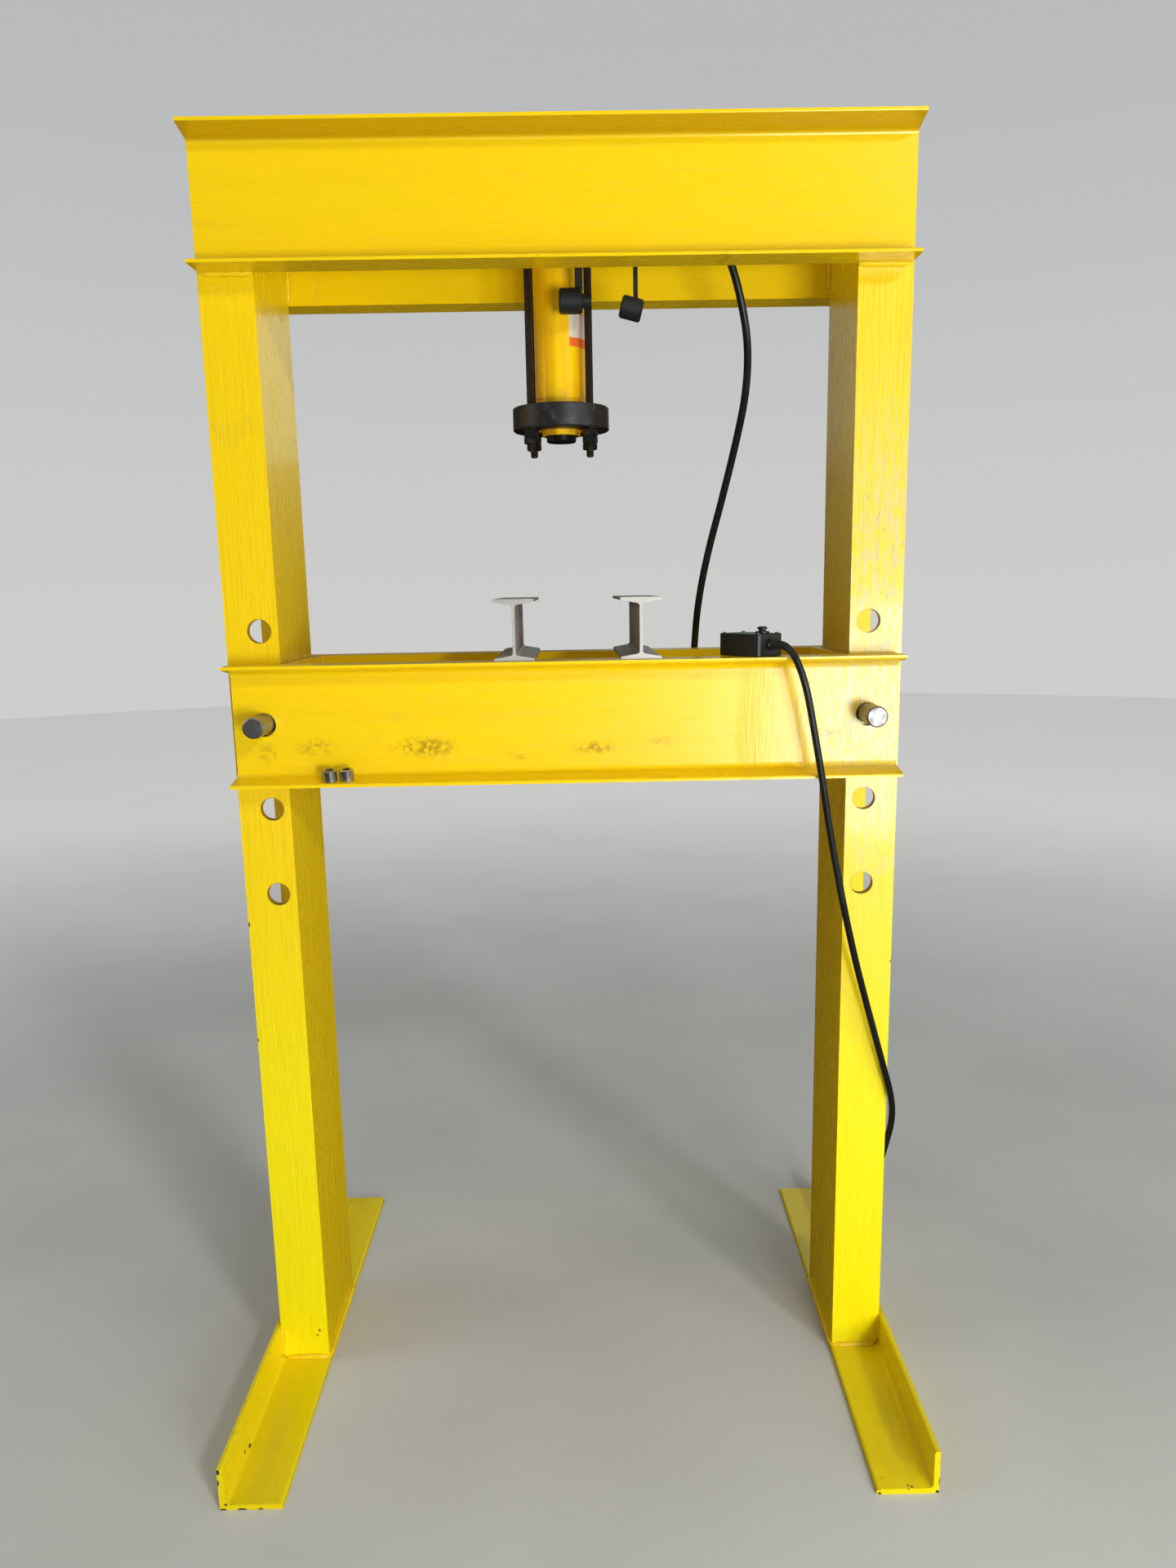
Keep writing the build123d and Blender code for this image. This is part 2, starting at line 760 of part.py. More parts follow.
def dust_cap_hose_half():
    """Cap for the hose's coupler half, hanging tilted on its strap."""
    ring_x = hose_neck_x + hose_half_neck_length / 2
    body = cup(hose_cap_diameter, hose_cap_length, hose_cap_diameter - 2 * hose_cap_rim, 0)
    hung = Rot(0, 90 + hose_cap_tilt, 0) * Pos(0, 0, -hose_cap_length / 2) * body
    cap = Pos(ring_x - hose_cap_back, coupler_y, port_z - hose_cap_drop) * hung
    strap_drop = hose_cap_drop - hose_cap_diameter / 2 + cap_strap_root
    return strap_cap(hose_half_neck, hose_strap_width, ring_x, strap_drop, cap)


# Cords
def arc_radii(points):
    """For each inner point, the largest arc that its two runs allow."""
    radii = []
    for before, corner, after in zip(points, points[1:], points[2:]):
        run_in = Vector(*corner) - Vector(*before)
        run_out = Vector(*after) - Vector(*corner)
        shorter = min(run_in.length, run_out.length)
        half_turn = math.radians(run_in.get_angle(run_out)) / 2
        radii.append(0.45 * shorter / math.tan(half_turn))
    return radii


def cord(name, points, diameter):
    """Round tube along straight runs joined by tangent arcs."""
    radii = arc_radii(points)
    path = FilletPolyline(*points, radius=radii)
    start = Plane(origin=path @ 0, z_dir=path % 0)
    tube = sweep(start * Circle(diameter / 2), path=path)
    filled = math.pi * diameter ** 2 / 4 * path.length
    print(name, "length", round(path.length, 1), "volume ratio", round(tube.volume / filled, 5))
    print(name, "radii", [round(radius) for radius in radii])
    return tube


hose_points = [
    (hose_start_x, coupler_y, port_z), (222, -77.5, 2033.5), (262, -75, 2008), (284, -70, 1962),
    (303, -58, 1905), (318, -34, 1842), (320, 2, 1772), (309, 40, 1700), (288, 84, 1600),
    (265, 127, 1502), (251, 166, 1411), (247, 190, 1334), (244, 194, 1278), (237, 186, 1230),
    (222, 171, 1190), (197, 159, 1161), (161, 153.5, 1146), (118, 152.8, 1142.3), (62, 154.5, 1142),
    (-8, 153.2, 1142.2), (-92, 154.4, 1142), (-176, 152.9, 1142.3), (-248, 152.2, 1143.6),
    (-312, 151, 1149), (-364, 150, 1154.5), (-404, 150, 1155.6),
]


def pendant_point(x, y, z):
    """World point of a place given in the pendant's own corner frame."""
    return tuple((pendant_place * Location((x, y, z))).position)


pendant_cord_points = [
    pendant_point(gland_side, -gland_length, gland_height),
    pendant_point(gland_side, -gland_length - cord_first_run, gland_height),
    (367.5, -188.2, 1344), (375.2, -196.8, 1335), (383, -202.4, 1322.5), (389.8, -204.4, 1301),
    (397.7, -203.2, 1269.8), (406, -200, 1226), (416.5, -195.5, 1174), (429, -189, 1112), (441, -181, 1046),
    (457, -172, 970), (475, -163, 890), (496, -154, 805), (519.5, -145.5, 722), (541.5, -137, 648),
    (560, -129.5, 586), (574, -125, 540), (583, -116, 500), (585, -105, 462), (580, -95, 422),
    (571, -88.5, 378), (562, -85.5, 322), (556.5, -84.2, 258), (554.3, -83.7, 196), (554.1, -83.6, 136),
    (coil_front_x, coil_y - coil_mid_diameter / 2, coil_z),
]

tail_points = [
    (coil_back_x, coil_y, tail_z), (coil_back_x + 0.2, coil_y + 17, tail_z + 0.4),
    (coil_back_x + 3.5, coil_y + 35, tail_z + 3.5), (coil_back_x + 7.5, coil_y + 54, tail_z + 7.6),
    (plug_x, plug_y, plug_z),
]


def pendant_cord_coil():
    """Outer shape of the coiled cord, standing on edge in the hollow of the post."""
    low = coil_back_x - cord_diameter / 2
    high = coil_front_x + cord_diameter / 2
    edge = cord_diameter * 0.3
    ring = turned([(coil_inner_radius + edge, low), (coil_outer_radius - edge, low),
                   (coil_outer_radius, low + edge), (coil_outer_radius, high - edge),
                   (coil_outer_radius - edge, high), (coil_inner_radius + edge, high),
                   (coil_inner_radius, high - edge), (coil_inner_radius, low + edge)])
    return Pos(0, coil_y, coil_z) * along_x(ring)


def connector_plug():
    """Round plug on the end of the pendant cord, lying on the foot."""
    body = plug_diameter / 2
    nose = plug_nose_diameter / 2
    back = cord_diameter / 2 + plug_entry_wall
    socket = nose - plug_socket_wall
    shoulder = plug_entry_length + plug_shoulder
    nose_start = plug_length - plug_nose_length
    socket_floor = plug_length - plug_socket_depth
    shell = turned([(0, 0), (back, 0), (back, plug_entry_length), (body - plug_edge, shoulder),
                    (body, shoulder + plug_edge), (body, nose_start), (nose, nose_start), (nose, plug_length),
                    (socket, plug_length), (socket, socket_floor), (0, socket_floor)])
    return Pos(plug_x, plug_y, plug_z) * Rot(-90, 0, 0) * shell


def hose_end():
    """Crimped fitting and coupler half at the hose's far end."""
    end = Vector(*hose_points[-1])
    before = Vector(*hose_points[-2])
    outward = (end - before).normalized()
    place = Plane(origin=end, x_dir=outward, z_dir=(0, 0, 1)).location
    fitting_total = fitting_nut_length + crimp_length
    turn = Pos(fitting_total, 0, 0) * Rot(0, 0, 180)
    fitting = place * turn * hose_fitting(0)
    half_turn = Pos(fitting_total + fitting_x, 0, 0) * Rot(0, 0, 180)
    half = place * half_turn * along_x(turned(hose_half_profile()))
    return fitting, half


# Pendant, in its own corner frame: x across, y along, z up from the bed
def rounded_slab(low, height, inset, radius):
    """Rounded rectangle of the pendant's outline, drawn in by an inset."""
    outline = RectangleRounded(pendant_width - 2 * inset, pendant_length - 2 * inset, radius)
    return extrude(Pos(pendant_width / 2, pendant_length / 2, low) * outline, height)


def screw_places():
    """Centres of the cover's four screws."""
    near_x, far_x = screw_inset, pendant_width - screw_inset
    near_y, far_y = screw_inset, pendant_length - screw_inset
    return [(x, y) for x in (near_x, far_x) for y in (near_y, far_y)]


def pendant_case():
    """Moulded case, open at the top, with a boss for each cover screw."""
    shell = rounded_slab(0, case_height, 0, pendant_corner_radius)
    rim = shell.edges().group_by(Axis.Z)[0]
    shell = fillet(rim, case_edge_radius)
    hollow_height = case_height - pendant_wall
    shell -= rounded_slab(pendant_wall, hollow_height, pendant_wall, pendant_corner_radius - pendant_wall)
    for x, y in screw_places():
        boss_centre = pendant_wall + hollow_height / 2
        shell += Pos(x, y, boss_centre) * Cylinder(screw_boss / 2, hollow_height)
        drilling = Pos(x, y, case_height - screw_length / 2)
        shell -= drilling * Cylinder(screw_diameter / 2 + turning_play, screw_length)
    entry = Pos(gland_side, 0, gland_height) * Rot(90, 0, 0)
    return shell - entry * Cylinder(gland_spigot / 2 + turning_play, 2 * pendant_wall + cut_spare)


def pendant_cover():
    """Flat lid with a rounded rim, a button opening and screw holes."""
    lid = rounded_slab(case_height, cover_thickness, 0, pendant_corner_radius)
    rim = lid.edges().group_by(Axis.Z)[-1]
    lid = fillet(rim, cover_edge_radius)
    middle = case_height + cover_thickness / 2
    x, y = button_place
    lid -= Pos(x, y, middle) * Cylinder(bezel_spigot / 2 + turning_play, cover_thickness + cut_spare)
    for x, y in screw_places():
        lid -= Pos(x, y, middle) * Cylinder(screw_diameter / 2 + turning_play, cover_thickness + cut_spare)
    return lid


def pendant_screws():
    """Four pan-head screws through the cover."""
    head_low = pendant_height
    head_high = head_low + screw_head_height
    shank = screw_diameter / 2
    head = screw_head / 2
    tip = head_low - cover_thickness - screw_length + screw_tip_gap
    profile = [(0, tip), (shank, tip), (shank, head_low), (head, head_low),
               (head, head_high - screw_head_edge), (head - screw_head_edge, head_high), (0, head_high)]
    return Compound(children=[Pos(x, y, 0) * turned(profile) for x, y in screw_places()])


def button_bezel():
    """Ring on the cover that guides the button, with a spigot through the cover."""
    inner = (button_stem + button_play) / 2
    outer = bezel_diameter / 2
    spigot = bezel_spigot / 2
    high = pendant_height + bezel_height
    low = pendant_height - bezel_spigot_length
    return Pos(*button_place, 0) * turned([(inner, low), (spigot, low), (spigot, pendant_height),
                                           (outer, pendant_height), (outer, high - bezel_edge),
                                           (outer - bezel_edge, high), (inner, high)])


def button_flange_top():
    """Height of the stop flange under the bezel's spigot when the button is up."""
    return pendant_height - bezel_spigot_length - button_rest_gap


def pendant_button():
    """Domed button: cap above the bezel, stem through it and a stop flange below."""
    stem = button_stem / 2
    cap = button_cap / 2
    flange = button_flange / 2
    flange_high = button_flange_top()
    flange_low = flange_high - button_flange_height
    cap_low = pendant_height + bezel_height + button_travel + button_spare
    cap_high = cap_low + button_cap_height
    edge = button_edge
    return Pos(*button_place, 0) * turned([(0, flange_low), (flange, flange_low), (flange, flange_high),
                                           (stem, flange_high), (stem, cap_low), (cap, cap_low),
                                           (cap, cap_high - 2 * edge), (cap - edge, cap_high - 3 * edge / 4),
                                           (cap - 3 * edge, cap_high - edge / 6), (0, cap_high)])


def switch_block():
    """Contact block on the case's floor, under the button."""
    centre = pendant_wall + switch_height / 2
    block = Pos(*button_place, centre) * Box(switch_size, switch_size, switch_height)
    return chamfer(block.edges().filter_by(Axis.Z), switch_edge)


def button_spring():
    """Coil spring between the contact block and the button's flange, as its sleeve."""
    low = pendant_wall + switch_height
    high = button_flange_top() - button_flange_height
    inner = button_spring_diameter - 2 * button_spring_wire
    return Pos(*button_place, 0) * tube_piece(button_spring_diameter, inner, low, high)


def cord_gland():
    """Cord gland in the case's end: hexagon, tapered cap and a spigot through the wall."""
    tip = gland_tip_diameter / 2
    spigot = gland_spigot / 2
    shoulder = gland_shoulder / 2
    body = turned([(0, -pendant_wall), (spigot, -pendant_wall), (spigot, 0), (shoulder, 0),
                   (shoulder, gland_flat_length), (tip, gland_length - gland_tip_taper),
                   (tip - gland_tip_edge, gland_length), (0, gland_length)])
    body += hex_nut(gland_across_flats, gland_bore, 0, gland_flat_length)
    return Pos(gland_side, 0, gland_height) * Rot(90, 0, 0) * body


def pendant_pieces():
    """The pendant's pieces in their place on the bed, by node name."""
    pieces = {
        "pendant_case": pendant_case(),
        "pendant_cover": pendant_cover(),
        "pendant_screws": pendant_screws(),
        "button_bezel": button_bezel(),
        "pendant_button": pendant_button(),
        "switch_block": switch_block(),
        "button_spring": button_spring(),
        "cord_gland": cord_gland(),
    }
    return {name: pendant_place * piece for name, piece in pieces.items()}


def all_pieces():
    """Every piece of the press, by node name."""
    foot = foot_right()
    post = post_right()
    crown = cross_channel(post_face_y, crown_z, crown_length)
    bolster = bolster_front()
    spacer = bolster_spacer_right()
    lower_fitting, end_half = hose_end()
    pieces = {
        "foot_right": foot,
        "foot_left": mirrored(foot, Plane.YZ),
        "post_right": post,
        "post_left": mirrored(post, Plane.YZ),
        "crown_front": crown,
        "crown_rear": mirrored(crown, Plane.XZ),
        "crown_bearing_plate": bearing_plate(),
        "bolster_front": bolster,
        "bolster_rear": mirrored(bolster, Plane.XZ),
        "bolster_spacer_right": spacer,
        "bolster_spacer_left": mirrored(spacer, Plane.YZ),
        "bed_pin_left": bed_pin(-hole_x),
        "bed_pin_right": bed_pin(hole_x),
        "steel_bushings": steel_bushings(),
        "cylinder_body": cylinder_body(),
        "ring_plate": ring_plate(),
        "stop_ring": stop_ring(),
        "rod_wiper": rod_wiper(),
        "plunger": plunger(),
        "piston_seal": piston_seal(),
        "bearing_band": bearing_band(),
        "saddle": saddle(),
        "return_spring": return_spring(),
        "port_elbow": port_elbow(),
        "coupler_ram_half": coupler_ram_half(),
        "coupler_hose_half": coupler_hose_half(),
        "hose_fitting_upper": Pos(0, coupler_y, port_z) * hose_fitting(fitting_x),
        "hose_fitting_lower": lower_fitting,
        "hose_end_coupler": end_half,
        "dust_cap_ram_half": dust_cap_ram_half(),
        "dust_cap_hose_half": dust_cap_hose_half(),
        "hydraulic_hose": cord("hydraulic hose", hose_points, hose_diameter),
        "pendant_cord": cord("pendant cord", pendant_cord_points, cord_diameter),
        "pendant_cord_coil": pendant_cord_coil(),
        "pendant_cord_tail": cord("pendant cord tail", tail_points, cord_diameter),
        "connector_plug": connector_plug(),
    }
    for side, x in block_places.items():
        pieces["press_block_" + side] = press_block(x)
    pieces.update(tie_rod_pieces())
    pieces.update(pendant_pieces())
    return pieces


os.makedirs("parts", exist_ok=True)
coil_length = coil_turns * math.hypot(math.pi * coil_mid_diameter, cord_diameter)
print("coil length", round(coil_length, 1), "ram stroke", ram_stroke)
for name, piece in all_pieces().items():
    export_step(piece, "parts/" + name + ".step")
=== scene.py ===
"""Looks of the shop press: finishes, weld beads, hose, pendant cord, floor, light and camera.

Lengths are in metres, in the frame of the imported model: X to the right, Y to the rear, Z up from the floor.
"""

import logging
import math
import random
from dataclasses import dataclass, field
from enum import Enum
from typing import Any, Mapping, Optional, Sequence, Union

import bmesh
import bpy
from mathutils import Matrix, Vector

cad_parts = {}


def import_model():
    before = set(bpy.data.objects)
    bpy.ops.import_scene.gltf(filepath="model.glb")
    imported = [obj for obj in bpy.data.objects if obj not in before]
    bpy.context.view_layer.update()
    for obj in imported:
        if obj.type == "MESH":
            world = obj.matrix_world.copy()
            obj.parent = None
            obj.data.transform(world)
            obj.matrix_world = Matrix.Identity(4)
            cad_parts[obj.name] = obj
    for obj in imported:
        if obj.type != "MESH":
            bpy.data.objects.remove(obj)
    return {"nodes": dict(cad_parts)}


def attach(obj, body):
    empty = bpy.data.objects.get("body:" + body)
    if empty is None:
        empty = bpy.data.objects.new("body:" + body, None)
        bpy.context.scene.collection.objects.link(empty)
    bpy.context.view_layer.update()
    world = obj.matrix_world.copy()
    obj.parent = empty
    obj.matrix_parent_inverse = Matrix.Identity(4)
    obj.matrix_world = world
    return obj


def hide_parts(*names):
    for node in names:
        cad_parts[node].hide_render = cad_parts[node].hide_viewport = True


log = logging.getLogger("press")

Point = tuple[float, float, float]
Colour = tuple[float, float, float]
Term = Union["Signal", float]
Tint = Union["Signal", Colour]
Material = bpy.types.Material
Piece = bpy.types.Object

# Places on the press that finishes and beads line up with
WEB_X = 0.4826
POST_TOE_X = 0.5715
POST_FACE_Y = 0.1143
FLANGE_INSIDE = 0.0995
FOOT_TOP = 0.0095
FOOT_LEG_TOP = 0.0762
FOOT_HALF_LENGTH = 0.4826
CROWN_BOTTOM = 1.9463
CROWN_HALF_LENGTH = 0.5683
POST_TOP = 2.1435
BED_TOP = 1.3287
BED_WEB_Y = 0.1275
BED_PLAY = 0.0008
SPACER_X = 0.4636
HOLE_X = 0.51435
HOLE_RADIUS = 0.01985
POST_ROWS = (0.9265, 1.0789, 1.2313, 1.3837)
BED_HOLE_Z = 1.2271
ROD_OFFSET = 0.0494
PLATE_HALF_WIDTH = 0.1016
PLATE_BOTTOM = 2.06
PLATE_TOP = 2.0981
CYLINDER_RADIUS = 0.04285
COUPLER_Y = -0.078
PORT_Z = 2.0346
END_COUPLER_AXIS = (0.150, 1.1567)

# Directions, as seen from the press's right rear corner
UP, DOWN, INWARD = (0.0, 0.0, 1.0), (0.0, 0.0, -1.0), (-1.0, 0.0, 0.0)
FRONTWARD, REARWARD = (0.0, -1.0, 0.0), (0.0, 1.0, 0.0)


class Grain(Enum):
    """The way that a brush or a rolling mill ran along a piece."""

    ALONG_X = (0.06, 1.0, 1.0)
    ALONG_Y = (1.0, 0.06, 1.0)
    ALONG_Z = (1.0, 1.0, 0.06)
    NONE = (1.0, 1.0, 1.0)


class Signal:
    """One output socket of a shader: arithmetic on it adds Math nodes."""

    def __init__(self, sheet: "NodeSheet", socket: bpy.types.NodeSocket) -> None:
        """Wraps a socket of the given sheet."""
        self.sheet = sheet
        self.socket = socket

    def _math(self, operation: str, *terms: Term) -> "Signal":
        """Adds one Math node over the given terms."""
        node = self.sheet.node("ShaderNodeMath", {"operation": operation}, dict(enumerate(terms)))
        return Signal(self.sheet, node.outputs[0])

    def __add__(self, other: Term) -> "Signal":
        """Sum."""
        return self._math("ADD", self, other)

    def __radd__(self, other: Term) -> "Signal":
        """Sum with a number on the left."""
        return self._math("ADD", other, self)

    def __sub__(self, other: Term) -> "Signal":
        """Difference."""
        return self._math("SUBTRACT", self, other)

    def __rsub__(self, other: Term) -> "Signal":
        """Difference from a number on the left."""
        return self._math("SUBTRACT", other, self)

    def __mul__(self, other: Term) -> "Signal":
        """Product."""
        return self._math("MULTIPLY", self, other)

    def __rmul__(self, other: Term) -> "Signal":
        """Product with a number on the left."""
        return self._math("MULTIPLY", other, self)

    def __truediv__(self, other: Term) -> "Signal":
        """Quotient."""
        return self._math("DIVIDE", self, other)

    def __mod__(self, other: Term) -> "Signal":
        """Remainder, never negative for a positive divisor."""
        return self._math("FLOORED_MODULO", self, other)

    def __abs__(self) -> "Signal":
        """Size without sign."""
        return self._math("ABSOLUTE", self)

    def root(self) -> "Signal":
        """Square root."""
        return self._math("SQRT", self)

    def sine(self) -> "Signal":
        """Sine of an angle in radians."""
        return self._math("SINE", self)

    def angle_from(self, other: "Signal") -> "Signal":
        """Angle in radians of the point (other, self)."""
        return self._math("ARCTAN2", self, other)

    def least(self, other: Term) -> "Signal":
        """The smaller of the two."""
        return self._math("MINIMUM", self, other)

    def most(self, other: Term) -> "Signal":
        """The larger of the two."""
        return self._math("MAXIMUM", self, other)

    def step(self, low: float, high: float) -> "Signal":
        """Smooth step from 0 at low to 1 at high; low may be the larger.

        Args:
            low: value where the result is 0.
            high: value where the result is 1.

        Returns:
            The stepped signal.
        """
        swapped = low > high
        first, last = (high, low) if swapped else (low, high)
        sockets = {"Value": self, "From Min": first, "From Max": last}
        node = self.sheet.node("ShaderNodeMapRange", {"interpolation_type": "SMOOTHSTEP"}, sockets)
        result = Signal(self.sheet, node.outputs["Result"])
        return 1.0 - result if swapped else result


class NodeSheet:
    """The node tree of one material or sky, with the few kinds of node that the finishes use."""

    def __init__(self, name: str, sky: Optional[bpy.types.World] = None) -> None:
        """Makes an empty sheet.

        Args:
            name: the new material's name.
            sky: the world that the sheet is for, in place of a material.
        """
        self.material = sky or bpy.data.materials.new(name)
        self.material.use_nodes = True
        self.tree = self.material.node_tree
        self.tree.nodes.clear()
        place = self.node("ShaderNodeTexCoord").outputs["Generated" if sky else "Object"]
        self.place = Signal(self, place)
        parts = self.node("ShaderNodeSeparateXYZ", {}, {0: self.place})
        self.x, self.y, self.z = (Signal(self, parts.outputs[axis]) for axis in range(3))
        facing = self.node("ShaderNodeNewGeometry").outputs["True Normal"]
        turned = self.node("ShaderNodeSeparateXYZ", {}, {0: Signal(self, facing)})
        self.facing_y, self.facing_z = (Signal(self, turned.outputs[axis]) for axis in (1, 2))

    def node(self, kind: str, settings: Optional[Mapping[str, Any]] = None,
             sockets: Optional[Mapping[Any, Any]] = None) -> bpy.types.Node:
        """Adds a node, sets its settings first and then its sockets.

        Args:
            kind: the node's type name.
            settings: attributes of the node itself.
            sockets: values or signals by input name or index.

        Returns:
            The new node.
        """
        made = self.tree.nodes.new(kind)
        for name, value in (settings or {}).items():
            setattr(made, name, value)
        for key, value in (sockets or {}).items():
            if isinstance(value, Signal):
                self.tree.links.new(value.socket, made.inputs[key])
            else:
                made.inputs[key].default_value = value
        return made

    def stretched(self, stretch: Sequence[float]) -> Signal:
        """The place on the press, scaled along each axis."""
        sockets = {0: self.place, 1: tuple(stretch)}
        return Signal(self, self.node("ShaderNodeVectorMath", {"operation": "MULTIPLY"}, sockets).outputs[0])

    def noise(self, scale: float, detail: float = 3.0, stretch: Sequence[float] = Grain.NONE.value,
              roughness: float = 0.5, distortion: float = 0.0) -> Signal:
        """Fractal noise over the piece.

        Args:
            scale: features per metre.
            detail: octaves.
            stretch: scale along each axis.
            roughness: strength of the fine octaves.
            distortion: how far the pattern is warped.

        Returns:
            A signal about 0.5.
        """
        sockets = {"Vector": self.stretched(stretch), "Scale": scale, "Detail": detail,
                   "Roughness": roughness, "Distortion": distortion}
        return Signal(self, self.node("ShaderNodeTexNoise", {}, sockets).outputs[0])

    def cells(self, scale: float) -> Signal:
        """Distance to the nearest of a field of scattered points."""
        sockets = {"Vector": self.place, "Scale": scale}
        return Signal(self, self.node("ShaderNodeTexVoronoi", {}, sockets).outputs["Distance"])

    def blend(self, mask: Term, under: Tint, over: Tint) -> Signal:
        """Lays one colour over another.

        Args:
            mask: 0 where the lower colour shows and 1 where the upper one does.
            under: the lower colour.
            over: the upper colour.

        Returns:
            The blended colour.
        """
        colours = [value if isinstance(value, Signal) else (*value, 1.0) for value in (under, over)]
        sockets = {0: mask, 6: colours[0], 7: colours[1]}
        node = self.node("ShaderNodeMix", {"data_type": "RGBA"}, sockets)
        return Signal(self, node.outputs[2])

    def bump(self, height: Signal, depth: float) -> Signal:
        """Normal of a relief whose height runs from 0 to 1 over a depth in metres."""
        sockets = {"Height": height, "Distance": depth, "Strength": 1.0}
        return Signal(self, self.node("ShaderNodeBump", {}, sockets).outputs[0])

    def surface(self, **sockets: Any) -> Material:
        """Ends the sheet in a Principled surface.

        Args:
            sockets: input names with underscores for spaces, and their values or signals.

        Returns:
            The finished material.
        """
        named = {name.replace("_", " "): value for name, value in sockets.items()}
        shader = self.node("ShaderNodeBsdfPrincipled", {}, named)
        self.node("ShaderNodeOutputMaterial", {}, {"Surface": Signal(self, shader.outputs[0])})
        return self.material


@dataclass(frozen=True)
class Finish:
    """A look that becomes one material."""

    name: str

    def build(self) -> Material:
        """The material."""
        return self.paint(NodeSheet(self.name))

    def paint(self, sheet: NodeSheet) -> Material:
        """Lays the finish on an empty sheet."""
        raise NotImplementedError


@dataclass(frozen=True)
class Smudge:
    """A dirty patch or a chip on paint, with soft edges."""

    centre: Point
    reach: Point
    strength: float = 0.6

    def mask(self, sheet: NodeSheet) -> Signal:
        """Where the patch lies.

        Args:
            sheet: the sheet that it is drawn on.

        Returns:
            The strength in the middle of the patch, fading to 0 at its reach.
        """
        places = zip((sheet.x, sheet.y, sheet.z), self.centre, self.reach)
        x, y, z = ((axis - middle) / size for axis, middle, size in places)
        return (x * x + y * y + z * z).root().step(1.0, 0.15) * self.strength


def marks(face_y: float, depth: float, *rows: tuple[float, ...]) -> tuple[Smudge, ...]:
    """Smudges on one upright face, from rows of X, Z, reach along X, reach along Z and strength."""
    return tuple(Smudge((x, face_y, z), (wide, depth, tall), strength)
                 for x, z, wide, tall, strength in rows)


